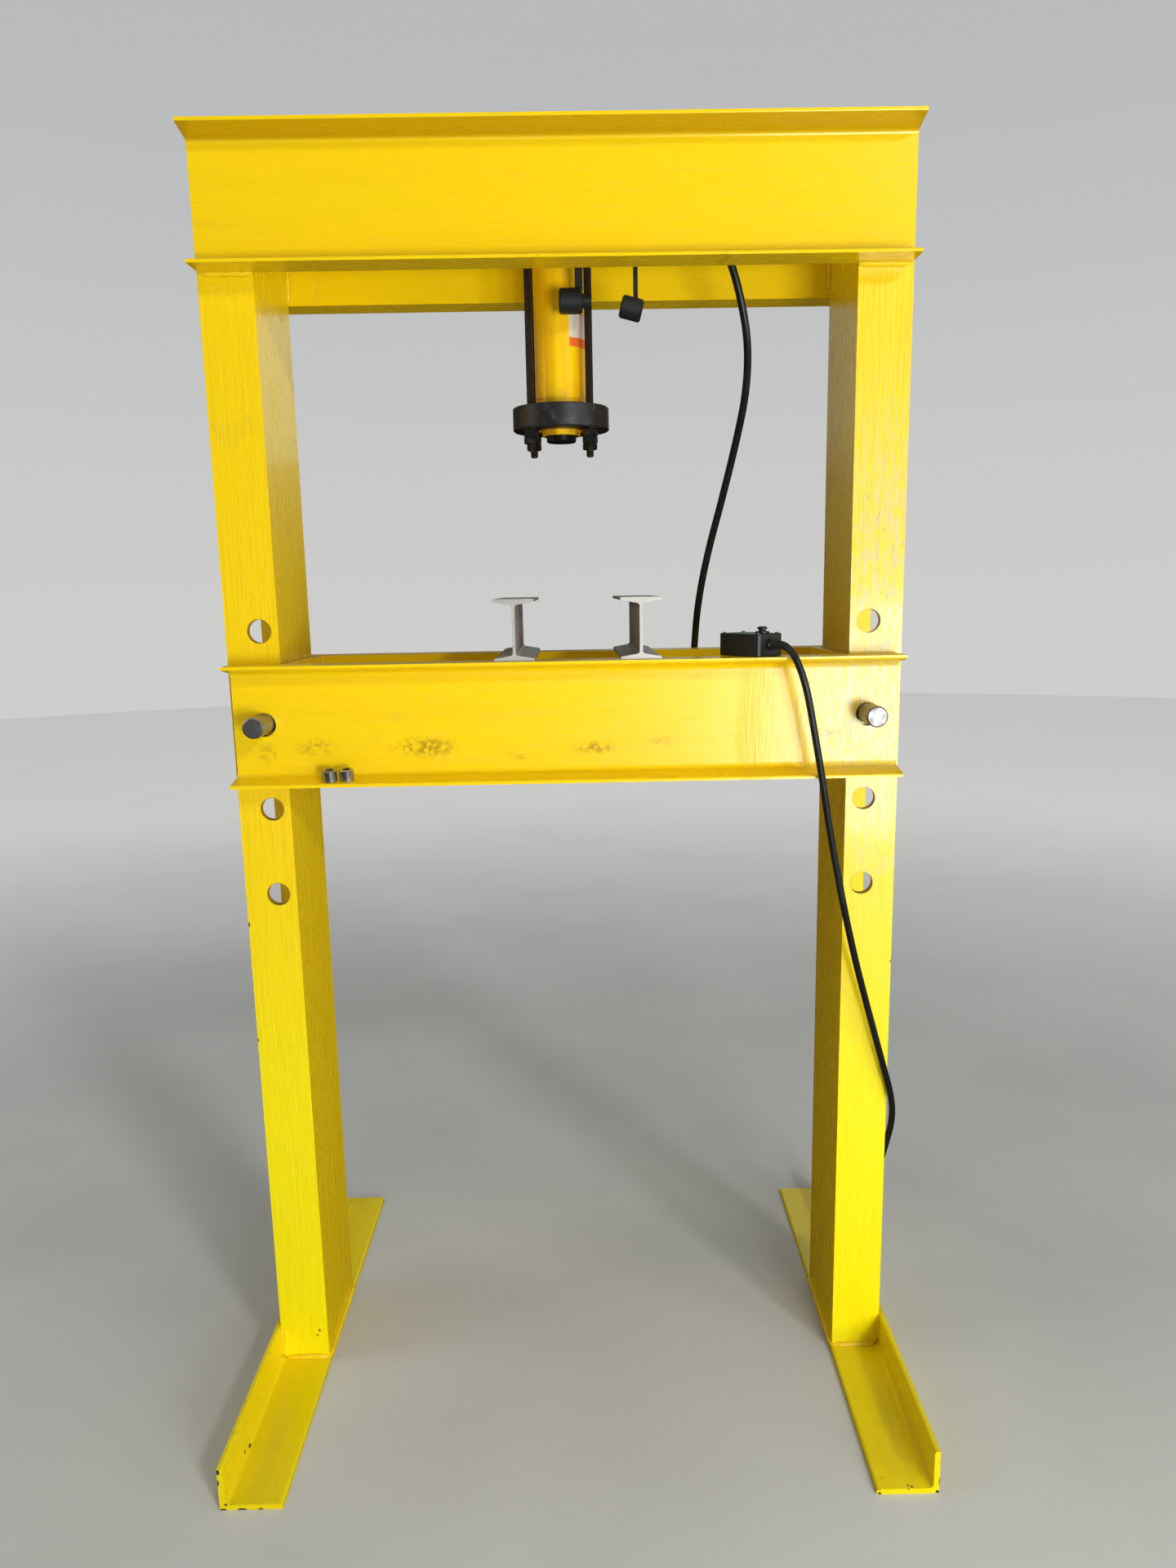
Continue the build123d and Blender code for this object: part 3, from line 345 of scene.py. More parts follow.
@dataclass(frozen=True)
class BrushedPaint(Finish):
    """Safety-yellow enamel laid on with a brush over rolled steel, with runs, grime and chips, and with
    painted glare, painted underside shade and a painted light tint near the floor.
    """

    grain: Grain
    colour: Colour = (0.90, 0.605, 0.0010)
    thin: Colour = (0.80, 0.48, 0.001)
    grime: Colour = (0.22, 0.125, 0.006)
    steel: Colour = (0.06, 0.045, 0.04)
    # colour of the painted shade under faces that point down
    underside_shade_colour: Colour = (0.42, 0.24, 0.001)
    # colour of the painted light near the floor
    lit_tint: Colour = (0.92, 0.77, 0.001)
    # pale: colour of the painted glare
    pale: Colour = (0.60, 0.53, 0.27)
    gloss: float = 0.25
    relief: float = 0.0006
    ridge_scale: float = 210.0
    streaks: float = 0.28
    blotches: float = 0.14
    smudges: tuple[Smudge, ...] = ()
    chips: tuple[Smudge, ...] = ()
    # patches of painted glare: pale streaks standing in for lamp light caught by the brush marks
    painted_glare: tuple[Smudge, ...] = ()
    hole_heights: tuple[float, ...] = ()
    upright_from: Optional[float] = None
    upright_gain: float = 4.5
    # height above which the painted shade under downward faces is deepest
    deep_shade_above: Optional[float] = None
    # height below which front and rear faces turn to the painted light tint, and the distance over which it
    # fades
    lit_tint_below: Optional[float] = None
    lit_tint_fade: float = 0.8
    scuffed_ends: bool = False

    def hole_mask(self, sheet: NodeSheet) -> Term:
        """Where the walls of the pin holes are.

        Args:
            sheet: the sheet of the finish.

        Returns:
            1 on the walls and 0 elsewhere.
        """
        across = abs(sheet.x) - HOLE_X
        walls: Term = 0.0
        for height in self.hole_heights:
            along = sheet.z - height
            radius = (across * across + along * along).root()
            walls = radius.step(HOLE_RADIUS + 0.0012, HOLE_RADIUS + 0.0002) + walls
        return walls.least(1.0) * abs(sheet.y).step(FLANGE_INSIDE - 0.0012, FLANGE_INSIDE - 0.0004)

    def chip_mask(self, sheet: NodeSheet) -> Term:
        """Where flakes have come off: at the given chips, and small ones along the ends of the feet.

        Args:
            sheet: the sheet of the finish.

        Returns:
            1 where the steel is bare and 0 elsewhere.
        """
        ragged = sheet.noise(420.0, 4.0, roughness=0.7)
        bare: Term = 0.0
        for chip in self.chips:
            bare = (chip.mask(sheet) + ragged * 0.6).step(1.02, 1.12).most(bare)
        if self.scuffed_ends:
            flakes = sheet.cells(95.0).step(0.34, 0.24) * sheet.noise(38.0, 4.0).step(0.56, 0.62)
            ends = abs(sheet.y).step(FOOT_HALF_LENGTH - 0.05, FOOT_HALF_LENGTH - 0.003)
            rims = sheet.z.step(FOOT_LEG_TOP - 0.0062, FOOT_LEG_TOP - 0.0005) * 0.5
            bare = (flakes * (ends * 0.9 + rims).least(1.0)).most(bare)
        return bare

    def brush_marks(self, sheet: NodeSheet) -> Signal:
        """Ridges that the brush left, turned upright beyond upright_from.

        Args:
            sheet: the sheet of the finish.

        Returns:
            The ridges' height.
        """
        strokes = sheet.noise(self.ridge_scale, 2.5, self.grain.value, 0.55)
        if self.upright_from is None:
            return strokes
        upright = sheet.noise(self.ridge_scale, 2.5, (1.0, 1.0, 0.12), 0.6) * self.upright_gain
        edge = sheet.x + sheet.noise(9.0, 2.0) * 0.05
        turned = edge.step(self.upright_from, self.upright_from + 0.04)
        return strokes * (1.0 - turned) + upright * turned

    def paint(self, sheet: NodeSheet) -> Material:
        """Lays the finish on a sheet.

        Args:
            sheet: the empty sheet.

        Returns:
            The finished material.
        """
        strokes = self.brush_marks(sheet)
        bands = sheet.noise(34.0, 3.0, self.grain.value)
        clouds = sheet.noise(5.0, 3.0)
        peel = sheet.noise(900.0, 2.0)
        colour = sheet.blend(strokes.step(0.50, 0.75) * 0.22 + bands.step(0.48, 0.78) * self.streaks,
                             self.colour, self.thin)
        # Painted light: front and rear faces turn a brighter lemon towards the floor, where the lamps light
        # them more strongly
        if self.lit_tint_below is not None:
            low = sheet.z.step(self.lit_tint_below, self.lit_tint_below - self.lit_tint_fade)
            flanges = abs(sheet.facing_y).step(0.5, 0.9)
            colour = sheet.blend(low * flanges * 0.9, colour, self.lit_tint)
        dust = sheet.noise(19.0, 6.0, distortion=0.6).step(0.56, 0.78) * clouds.step(0.45, 0.65)
        colour = sheet.blend(dust * self.blotches, colour, self.grime)
        specks = sheet.cells(140.0).step(0.10, 0.05) * sheet.noise(11.0, 2.0).step(0.55, 0.66)
        colour = sheet.blend(specks * 0.45, colour, self.grime)
        # Painted glare: pale streaks laid into the colour where the lamps glint on brushed paint, with dark
        # flecks among them
        for patch in self.painted_glare:
            worn = patch.mask(sheet)
            lines = sheet.noise(230.0, 5.0, (1.0, 1.0, 0.16), 0.66)
            colour = sheet.blend(worn * lines.step(0.42, 0.58) * 0.85, colour, self.pale)
            pits = sheet.noise(260.0, 5.0, (1.0, 1.0, 0.3), 0.72).step(0.57, 0.66)
            colour = sheet.blend(worn * pits * 0.45, colour, self.grime)
        for smudge in self.smudges:
            ragged = sheet.noise(120.0, 5.0, roughness=0.65).step(0.42, 0.60)
            colour = sheet.blend(smudge.mask(sheet) * ragged, colour, self.grime)
        # Painted shade: faces that point down are darkened, most under the crown's top flanges
        if self.deep_shade_above is not None:
            shade_strength = sheet.z.step(self.deep_shade_above, self.deep_shade_above + 0.01) * 0.45 + 0.3
            colour = sheet.blend(sheet.facing_z.step(-0.35, -0.9) * shade_strength, colour, self.underside_shade_colour)
        height = strokes * 0.55 + bands * 0.25 + peel * 0.12
        rough = self.gloss + strokes.step(0.4, 0.8) * 0.12 + dust * 0.25
        metal: Term = 0.0
        if self.hole_heights:
            walls = self.hole_mask(sheet)
            colour = sheet.blend(walls * 0.8, colour, self.grime)
            rough = rough + walls * 0.25
        if self.chips or self.scuffed_ends:
            bare = self.chip_mask(sheet)
            colour = sheet.blend(bare, colour, self.steel)
            height = height - bare * 0.9
            rough = rough + bare * 0.35
            metal = bare * 0.5
        return sheet.surface(Base_Color=colour, Roughness=rough, Metallic=metal,
                             Normal=sheet.bump(height, self.relief), Specular_IOR_Level=0.35,
                             Coat_Weight=0.25, Coat_Roughness=0.12)


@dataclass(frozen=True)
class TurnedSteel(Finish):
    """Bare steel with tool marks about an axis or along its length, and handling stains."""

    colour: Colour
    stain: Colour
    grain: Grain = Grain.NONE
    gloss: float = 0.32
    metal: float = 0.95
    marks: float = 0.00006

    def paint(self, sheet: NodeSheet) -> Material:
        """Lays the finish on a sheet.

        Args:
            sheet: the empty sheet.

        Returns:
            The finished material.
        """
        lines = sheet.noise(900.0, 3.0, self.grain.value, 0.7)
        clouds = sheet.noise(22.0, 5.0, roughness=0.6)
        spots = sheet.noise(130.0, 4.0).step(0.56, 0.70)
        colour = sheet.blend(clouds.step(0.42, 0.68) * 0.6 + spots * 0.25, self.colour, self.stain)
        rough = self.gloss + clouds.step(0.4, 0.7) * 0.2 + lines * 0.08
        height = lines * 0.6 + spots * 0.3
        return sheet.surface(Base_Color=colour, Roughness=rough, Metallic=self.metal,
                             Normal=sheet.bump(height, self.marks))


@dataclass(frozen=True)
class CutSteel(Finish):
    """Rolled beam offcut: grey mill scale on its sides and bright sawn ends."""

    scale: Colour = (0.37, 0.34, 0.325)
    rust: Colour = (0.17, 0.095, 0.050)
    bright: Colour = (0.48, 0.46, 0.43)

    def paint(self, sheet: NodeSheet) -> Material:
        """Lays the finish on a sheet.

        Args:
            sheet: the empty sheet.

        Returns:
            The finished material.
        """
        mill = sheet.noise(55.0, 5.0, Grain.ALONG_Y.value, 0.62)
        patches = sheet.noise(17.0, 5.0).step(0.55, 0.68)
        ends = abs(sheet.facing_y).step(0.85, 0.95)
        upper = sheet.facing_z.step(0.7, 0.95)
        saw = sheet.noise(700.0, 2.0, (0.04, 1.0, 1.0))
        colour = sheet.blend(patches * 0.45, self.scale, self.rust)
        colour = sheet.blend(ends * 0.75 + upper * mill.step(0.45, 0.7) * 0.55, colour, self.bright)
        rough = 0.46 - ends * 0.1 + mill * 0.12
        height = mill * 0.5 + saw * ends * 0.5
        return sheet.surface(Base_Color=colour, Roughness=rough, Metallic=0.45,
                             Normal=sheet.bump(height, 0.0003))


@dataclass(frozen=True)
class Blackened(Finish):
    """Oil-blackened machined steel with lathe rings about an upright axis."""

    colour: Colour = (0.034, 0.031, 0.034)
    worn: Colour = (0.105, 0.097, 0.100)
    ring_pitch: float = 0.0009
    gloss: float = 0.30

    def paint(self, sheet: NodeSheet) -> Material:
        """Lays the finish on a sheet.

        Args:
            sheet: the empty sheet.

        Returns:
            The finished material.
        """
        radius = (sheet.x * sheet.x + sheet.y * sheet.y).root()
        rings = ((radius + sheet.z) * (2 * math.pi / self.ring_pitch)).sine() * 0.5 + 0.5
        rub = sheet.noise(48.0, 5.0, roughness=0.65).step(0.52, 0.72)
        oil = sheet.noise(9.0, 3.0).step(0.4, 0.65)
        colour = sheet.blend(rub * 0.55, self.colour, self.worn)
        rough = self.gloss + rub * 0.18 + oil * 0.12
        return sheet.surface(Base_Color=colour, Roughness=rough, Metallic=0.65,
                             Normal=sheet.bump(rings * 0.35 + rub * 0.4, 0.00005))


@dataclass(frozen=True)
class ThreadedRod(Finish):
    """Blackened rod with its thread as relief on all four rods at once."""

    pitch: float = 0.00195
    colour: Colour = (0.035, 0.027, 0.021)
    crest: Colour = (0.16, 0.12, 0.09)

    def paint(self, sheet: NodeSheet) -> Material:
        """Lays the finish on a sheet.

        Args:
            sheet: the empty sheet.

        Returns:
            The finished material.
        """
        across = abs(sheet.x) - ROD_OFFSET
        along = abs(sheet.y) - ROD_OFFSET
        lead = along.angle_from(across) * (self.pitch / (2 * math.pi))
        phase = ((sheet.z + lead) % self.pitch) / self.pitch
        crest = 1.0 - abs(phase * 2.0 - 1.0)
        colour = sheet.blend(crest.step(0.55, 1.0) * 0.6, self.colour, self.crest)
        rough = 0.36 + sheet.noise(60.0, 3.0) * 0.15
        return sheet.surface(Base_Color=colour, Roughness=rough, Metallic=0.7,
                             Normal=sheet.bump(crest, 0.0009))


@dataclass(frozen=True)
class CylinderPaint(Finish):
    """Orange-yellow enamel on the cylinder, rubbed and smudged by hands and oil."""

    colour: Colour = (0.88, 0.47, 0.002)
    light: Colour = (0.94, 0.60, 0.005)
    grime: Colour = (0.20, 0.085, 0.010)
    clean_above: float = 1.80
    dirty_below: float = 1.73

    def paint(self, sheet: NodeSheet) -> Material:
        """Lays the finish on a sheet.

        Args:
            sheet: the empty sheet.

        Returns:
            The finished material.
        """
        runs = sheet.noise(42.0, 4.0, Grain.ALONG_Z.value, 0.6)
        hands = sheet.noise(26.0, 6.0, (1.0, 1.0, 0.45), 0.66).step(0.54, 0.70)
        colour = sheet.blend(runs.step(0.42, 0.66), self.colour, self.light)
        colour = sheet.blend(hands * 0.38, colour, self.grime)
        low = sheet.z.step(self.clean_above, self.dirty_below)
        foot = low * sheet.noise(60.0, 4.0).step(0.38, 0.62)
        colour = sheet.blend(foot * 0.5, colour, self.grime)
        rough = 0.24 + hands * 0.25 + foot * 0.15
        height = runs * 0.5 + sheet.noise(500.0, 2.0) * 0.2
        return sheet.surface(Base_Color=colour, Roughness=rough, Metallic=0.0,
                             Normal=sheet.bump(height, 0.0003), Specular_IOR_Level=0.3,
                             Coat_Weight=0.15, Coat_Roughness=0.15)


@dataclass(frozen=True)
class Knurled(Finish):
    """Plated steel whose sleeve is knurled about an axis along X."""

    axis_y: float
    axis_z: float
    colour: Colour = (0.30, 0.28, 0.25)
    dirt: Colour = (0.06, 0.05, 0.04)
    teeth: int = 52
    knurl_radius: float = 0.0162

    def paint(self, sheet: NodeSheet) -> Material:
        """Lays the finish on a sheet.

        Args:
            sheet: the empty sheet.

        Returns:
            The finished material.
        """
        across = sheet.y - self.axis_y
        above = sheet.z - self.axis_z
        radius = (across * across + above * above).root()
        turn = above.angle_from(across) * float(self.teeth)
        run = sheet.x * (self.teeth / self.knurl_radius)
        cross = ((turn + run).sine() * (turn - run).sine()) * 0.5 + 0.5
        gripped = radius.step(self.knurl_radius - 0.0006, self.knurl_radius)
        soiled = sheet.noise(70.0, 4.0).step(0.48, 0.66)
        colour = sheet.blend(soiled * 0.7, self.colour, self.dirt)
        rough = 0.34 + soiled * 0.25
        return sheet.surface(Base_Color=colour, Roughness=rough, Metallic=0.9,
                             Normal=sheet.bump(cross * gripped, 0.0005))


@dataclass(frozen=True)
class BlackRubber(Finish):
    """Black rubber of a hose, cord or cap, with a bloom and scuffs."""

    colour: Colour = (0.007, 0.007, 0.008)
    bloom: Colour = (0.035, 0.034, 0.033)
    gloss: float = 0.36
    relief: float = 0.00012

    def paint(self, sheet: NodeSheet) -> Material:
        """Lays the finish on a sheet.

        Args:
            sheet: the empty sheet.

        Returns:
            The finished material.
        """
        scuffs = sheet.noise(75.0, 5.0, roughness=0.7).step(0.56, 0.76)
        dust = sheet.noise(8.0, 3.0).step(0.42, 0.70)
        grainy = sheet.noise(1400.0, 2.0)
        colour = sheet.blend(scuffs * 0.4 + dust * 0.18, self.colour, self.bloom)
        rough = self.gloss + scuffs * 0.25 + dust * 0.1
        return sheet.surface(Base_Color=colour, Roughness=rough, Metallic=0.0, Specular_IOR_Level=0.3,
                             Normal=sheet.bump(grainy * 0.4 + scuffs * 0.4, self.relief))


@dataclass(frozen=True)
class MouldedPlastic(Finish):
    """Black moulded plastic with a fine spark texture and rubbed edges."""

    colour: Colour = (0.009, 0.009, 0.010)
    rubbed: Colour = (0.045, 0.044, 0.043)
    gloss: float = 0.38

    def paint(self, sheet: NodeSheet) -> Material:
        """Lays the finish on a sheet.

        Args:
            sheet: the empty sheet.

        Returns:
            The finished material.
        """
        spark = sheet.noise(1900.0, 3.0, roughness=0.7)
        rub = sheet.noise(40.0, 5.0, roughness=0.65).step(0.55, 0.74)
        dust = sheet.facing_z.step(0.6, 1.0) * sheet.noise(30.0, 3.0).step(0.35, 0.7)
        colour = sheet.blend(rub * 0.35 + dust * 0.22, self.colour, self.rubbed)
        rough = self.gloss + rub * 0.15 + dust * 0.15
        return sheet.surface(Base_Color=colour, Roughness=rough, Metallic=0.0,
                             Normal=sheet.bump(spark, 0.00012))


@dataclass(frozen=True)
class LabelFilm(Finish):
    """Faded printed film: pale ground with one warm block at its foot and no words."""

    low: float
    high: float
    ground: Colour = (0.66, 0.57, 0.48)
    block: Colour = (0.80, 0.13, 0.012)
    worn: Colour = (0.55, 0.36, 0.10)
    block_share: float = 0.31

    def paint(self, sheet: NodeSheet) -> Material:
        """Lays the finish on a sheet.

        Args:
            sheet: the empty sheet.

        Returns:
            The finished material.
        """
        share = (sheet.z - self.low) / (self.high - self.low)
        edge = share + sheet.noise(60.0, 2.0) * 0.03
        band = edge.step(self.block_share, self.block_share - 0.03)
        wear = sheet.noise(180.0, 5.0, roughness=0.7).step(0.56, 0.66)
        colour = sheet.blend(band, self.ground, self.block)
        colour = sheet.blend(wear * 0.55, colour, self.worn)
        return sheet.surface(Base_Color=colour, Roughness=0.42 + wear * 0.2, Metallic=0.0,
                             Normal=sheet.bump(wear, 0.00006))


@dataclass(frozen=True)
class FloorCoat(Finish):
    """Plain pale studio floor with a trace of tone, running out into the backdrop."""

    far: Colour = (0.45, 0.45, 0.445)
    colour: Colour = (0.62, 0.61, 0.61)
    tone: Colour = (0.57, 0.56, 0.56)
    glow_from: float = 0.7
    glow_full: float = 6.5

    def paint(self, sheet: NodeSheet) -> Material:
        """Lays the finish on a sheet.

        Args:
            sheet: the empty sheet.

        Returns:
            The finished material.
        """
        colour = sheet.blend(sheet.noise(1.4, 4.0).step(0.35, 0.7), self.colour, self.tone)
        radius = (sheet.x * sheet.x + sheet.y * sheet.y).root()
        away = radius.step(self.glow_from, self.glow_full)
        return sheet.surface(Base_Color=colour, Roughness=0.85, Metallic=0.0, Emission_Strength=1.0,
                             Emission_Color=sheet.blend(away, (0.0, 0.0, 0.0), self.far),
                             Normal=sheet.bump(sheet.noise(160.0, 3.0), 0.0002))


@dataclass(frozen=True)
class BackdropGlow(Finish):
    """Evenly lit pale backdrop, a little darker towards its top."""

    low: Colour = (0.62, 0.62, 0.61)
    high: Colour = (0.48, 0.49, 0.50)
    fade_height: float = 9.0

    def paint(self, sheet: NodeSheet) -> Material:
        """Lays the finish on a sheet.

        Args:
            sheet: the empty sheet.

        Returns:
            The finished material.
        """
        shade = sheet.z.step(0.0, self.fade_height) + sheet.noise(0.3, 2.0) * 0.06
        return sheet.surface(Base_Color=(0.0, 0.0, 0.0, 1.0), Roughness=1.0, Emission_Strength=1.0,
                             Emission_Color=sheet.blend(shade.least(1.0), self.low, self.high))


def dress(finish: Finish, *node_names: str) -> None:
    """Gives one finish to several CAD nodes.

    Args:
        finish: their finish.
        node_names: names of the nodes.
    """
    material = finish.build()
    for name in node_names:
        slots = NODES[name].data.materials
        slots.clear()
        slots.append(material)
        log.info("dressed %s with %s", name, material.name)


def new_object(data: bpy.types.ID, material: Material) -> Piece:
    """Puts a mesh or curve in the scene as a piece that rides on the frame.

    Args:
        data: its mesh or curve, which has the piece's name.
        material: its finish.

    Returns:
        The new object.
    """
    piece = bpy.data.objects.new(data.name, data)
    bpy.context.scene.collection.objects.link(piece)
    data.materials.append(material)
    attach(piece, "frame")
    log.info("piece %s", piece.name)
    return piece


def mesh_from(name: str, shape: bmesh.types.BMesh, smooth_corners: int = 0) -> bpy.types.Mesh:
    """Turns a shape into a mesh and frees it.

    Args:
        name: the mesh's name.
        shape: the shape, which is used up.
        smooth_corners: faces with no more corners than this are shaded smooth.

    Returns:
        The mesh.
    """
    mesh = bpy.data.meshes.new(name)
    shape.to_mesh(mesh)
    shape.free()
    for polygon in mesh.polygons:
        polygon.use_smooth = len(polygon.vertices) <= smooth_corners
    return mesh


def skin(shape: bmesh.types.BMesh, rings: Sequence[Sequence[bmesh.types.BMVert]]) -> None:
    """Joins rings of points into one skin and closes its two ends.

    Args:
        shape: the shape that takes the faces.
        rings: rings of equally many points, in order.
    """
    for first, second in zip(rings, rings[1:]):
        for corner in range(len(first)):
            beside = (corner + 1) % len(first)
            shape.faces.new((first[corner], first[beside], second[beside], second[corner]))
    shape.faces.new(list(reversed(rings[0])))
    shape.faces.new(rings[-1])


@dataclass(frozen=True)
class Bead:
    """One weld bead along a straight inside corner, whose two walls run along side_a and side_b."""

    start: Point
    end: Point
    side_a: Point
    side_b: Point
    leg: float = 0.006
    ripple: float = 0.0032
    rings_per_ripple: int = 3
    fewest_rings: int = 4
    across: int = 5
    overlap: float = 0.0003
    end_size: float = 0.45
    thin: float = 0.93
    swell: float = 0.13
    fullness: float = 0.32
    unevenness: float = 0.03
    lag: float = 0.35

    def mirrored(self, side: int, way: int) -> "Bead":
        """The same bead with its X times side and its Y times way."""
        vectors = (self.start, self.end, self.side_a, self.side_b)
        return Bead(*((x * side, y * way, z) for x, y, z in vectors), self.leg)

    def add_to(self, shape: bmesh.types.BMesh, chance: random.Random) -> None:
        """Adds the bead to a shape as overlapping ripples with tapered ends.

        Args:
            shape: the shape that takes it.
            chance: seeded source of small differences.
        """
        start, end = Vector(self.start), Vector(self.end)
        side_a, side_b = Vector(self.side_a), Vector(self.side_b)
        length = (end - start).length
        steps = max(self.fewest_rings, round(length / self.ripple) * self.rings_per_ripple)
        sunk = (side_a + side_b) * -self.overlap
        along = (end - start).normalized() * self.ripple * self.lag
        rings = []
        for index in range(steps + 1):
            share = index / steps
            phase = (share * length / self.ripple) % 1.0
            from_end = min(share, 1.0 - share) * length / (2 * self.leg)
            taper = min(1.0, self.end_size + (1.0 - self.end_size) * from_end)
            uneven = chance.uniform(-self.unevenness, self.unevenness)
            size = self.leg * taper * (self.thin + self.swell * (1.0 - phase) + uneven)
            middle = start.lerp(end, share)
            ring = [shape.verts.new(middle + sunk)]
            for spoke in range(self.across + 1):
                turn = math.pi / 2 * spoke / self.across
                crown = math.sin(2 * turn)
                flat = size / (math.cos(turn) + math.sin(turn))
                reach = flat * (1.0 + self.fullness * crown)
                point = middle + side_a * reach * math.cos(turn) + side_b * reach * math.sin(turn)
                ring.append(shape.verts.new(point + along * crown))
            rings.append(ring)
        skin(shape, rings)


def four_corners(central: Sequence[Bead], quarter: Sequence[Bead]) -> list[Bead]:
    """Mirrors beads of the right side to the left, and some of them to the front too.

    Args:
        central: beads that run from front to rear.
        quarter: beads of the right rear quarter.

    Returns:
        The beads of the left side, then those of the right one.
    """
    beads = []
    for side in (-1, 1):
        beads += [bead.mirrored(side, 1) for bead in central]
        for way in (-1, 1):
            beads += [bead.mirrored(side, way) for bead in quarter]
    return beads


def lay_beads(name: str, beads: Sequence[Bead], seed: int, material: Material) -> None:
    """Builds all the beads of one joint area as one piece.

    Args:
        name: the piece's name.
        beads: its beads.
        seed: seed of their small differences.
        material: the paint over them.
    """
    chance = random.Random(seed)
    shape = bmesh.new()
    for bead in beads:
        bead.add_to(shape, chance)
    bmesh.ops.recalc_face_normals(shape, faces=shape.faces)
    new_object(mesh_from(name, shape, smooth_corners=Bead.across + 2), material)


@dataclass
class PressFrame:
    """Feet, posts, crown and bed: brushed yellow paint and the welds under it."""

    bed_smudges: tuple[Smudge, ...] = marks(
        -BED_WEB_Y, 0.03, (-0.243, 1.184, 0.075, 0.024, 0.75), (0.050, 1.178, 0.055, 0.016, 0.6),
        (-0.08, 1.166, 0.05, 0.012, 0.3), (0.165, 1.185, 0.035, 0.014, 0.4),
        (-0.430, 1.187, 0.045, 0.022, 0.45), (-0.512, 1.178, 0.030, 0.026, 0.35),
        (0.430, 1.283, 0.060, 0.009, 0.55), (0.455, 1.196, 0.030, 0.014, 0.5))
    crown_smudges: tuple[Smudge, ...] = marks(
        -0.15, 0.06, (0.262, CROWN_BOTTOM, 0.012, 0.012, 0.6), (-0.02, CROWN_BOTTOM, 0.09, 0.012, 0.25))
    # Painted glare on the right end of the bed's web and on the right post's front
    bed_painted_glare: tuple[Smudge, ...] = marks(-BED_WEB_Y, 0.04, (0.515, 1.227, 0.175, 0.250, 1.0))
    post_painted_glare: tuple[Smudge, ...] = marks(
        -POST_FACE_Y, 0.05, (0.540, 1.420, 0.120, 0.460, 0.9), (0.540, 1.060, 0.090, 0.220, 0.65))
    toe_chips: tuple[Smudge, ...] = marks(
        -POST_FACE_Y, 0.008, (-POST_TOE_X, 0.872, 0.006, 0.011, 1.0),
        (-POST_TOE_X, 0.655, 0.005, 0.008, 1.0), (POST_TOE_X, 0.780, 0.005, 0.009, 0.9))
    web_chips: tuple[Smudge, ...] = marks(
        -POST_FACE_Y, 0.004, (-0.498, 0.066, 0.0035, 0.009, 1.0), (-0.503, 0.056, 0.0055, 0.0035, 0.95))
    foot_chips: tuple[Smudge, ...] = (
        Smudge((-0.5790, -FOOT_HALF_LENGTH, 0.070), (0.0055, 0.026, 0.012), 1.0),
        Smudge((-0.5800, -FOOT_HALF_LENGTH, 0.050), (0.0035, 0.006, 0.014), 0.95),
        Smudge((-0.576, -FOOT_HALF_LENGTH, 0.001), (0.012, 0.007, 0.0045), 1.0),
        Smudge((-0.545, -FOOT_HALF_LENGTH, 0.001), (0.018, 0.006, 0.0040), 1.0),
        Smudge((-0.515, -FOOT_HALF_LENGTH, 0.001), (0.012, 0.005, 0.0032), 0.95),
        Smudge((-WEB_X, -0.330, 0.003), (0.0045, 0.030, 0.007), 1.0),
        Smudge((-WEB_X, -0.362, 0.003), (0.0045, 0.014, 0.007), 1.0),
        Smudge((-0.5690, -0.352, 0.0105), (0.005, 0.016, 0.006), 0.95),
        Smudge((-0.5715, -0.372, 0.016), (0.004, 0.010, 0.006), 0.95),
        Smudge((0.578, -FOOT_HALF_LENGTH, 0.003), (0.0075, 0.006, 0.006), 1.0),
        Smudge((0.5810, -FOOT_HALF_LENGTH, 0.022), (0.0035, 0.006, 0.014), 0.95),
    )
    weld_leg: float = 0.007

    def dress(self) -> None:
        """Paints the nodes of the frame."""
        feet = BrushedPaint(
            "paint_feet", Grain.ALONG_Y, colour=(0.86, 0.66, 0.001), thin=(0.74, 0.55, 0.001),
            chips=self.foot_chips, scuffed_ends=True)
        # The posts' paint carries a painted light tint near the floor and painted glare on the right post
        posts = BrushedPaint(
            "paint_posts", Grain.ALONG_Z, relief=0.0028, ridge_scale=150.0, streaks=0.14, blotches=0.26,
            chips=self.toe_chips + self.web_chips, painted_glare=self.post_painted_glare, hole_heights=POST_ROWS,
            lit_tint_below=1.15)
        # The crown's paint carries painted shade under its flanges
        crown = BrushedPaint(
            "paint_crown", Grain.ALONG_X, relief=0.00035, streaks=0.12, smudges=self.crown_smudges,
            deep_shade_above=POST_TOP - 0.06)
        # The bed's paint carries painted glare on its right end
        bed = BrushedPaint(
            "paint_bed", Grain.ALONG_X, relief=0.0008, ridge_scale=160.0, streaks=0.16,
            smudges=self.bed_smudges, painted_glare=self.bed_painted_glare, hole_heights=(BED_HOLE_Z,), upright_from=0.31)
        inner = BrushedPaint("paint_inner_plates", Grain.ALONG_Z)
        dress(feet, "foot_left", "foot_right")
        dress(posts, "post_left", "post_right")
        dress(crown, "crown_front", "crown_rear")
        dress(bed, "bolster_front", "bolster_rear")
        dress(inner, "crown_bearing_plate", "bolster_spacer_left", "bolster_spacer_right")

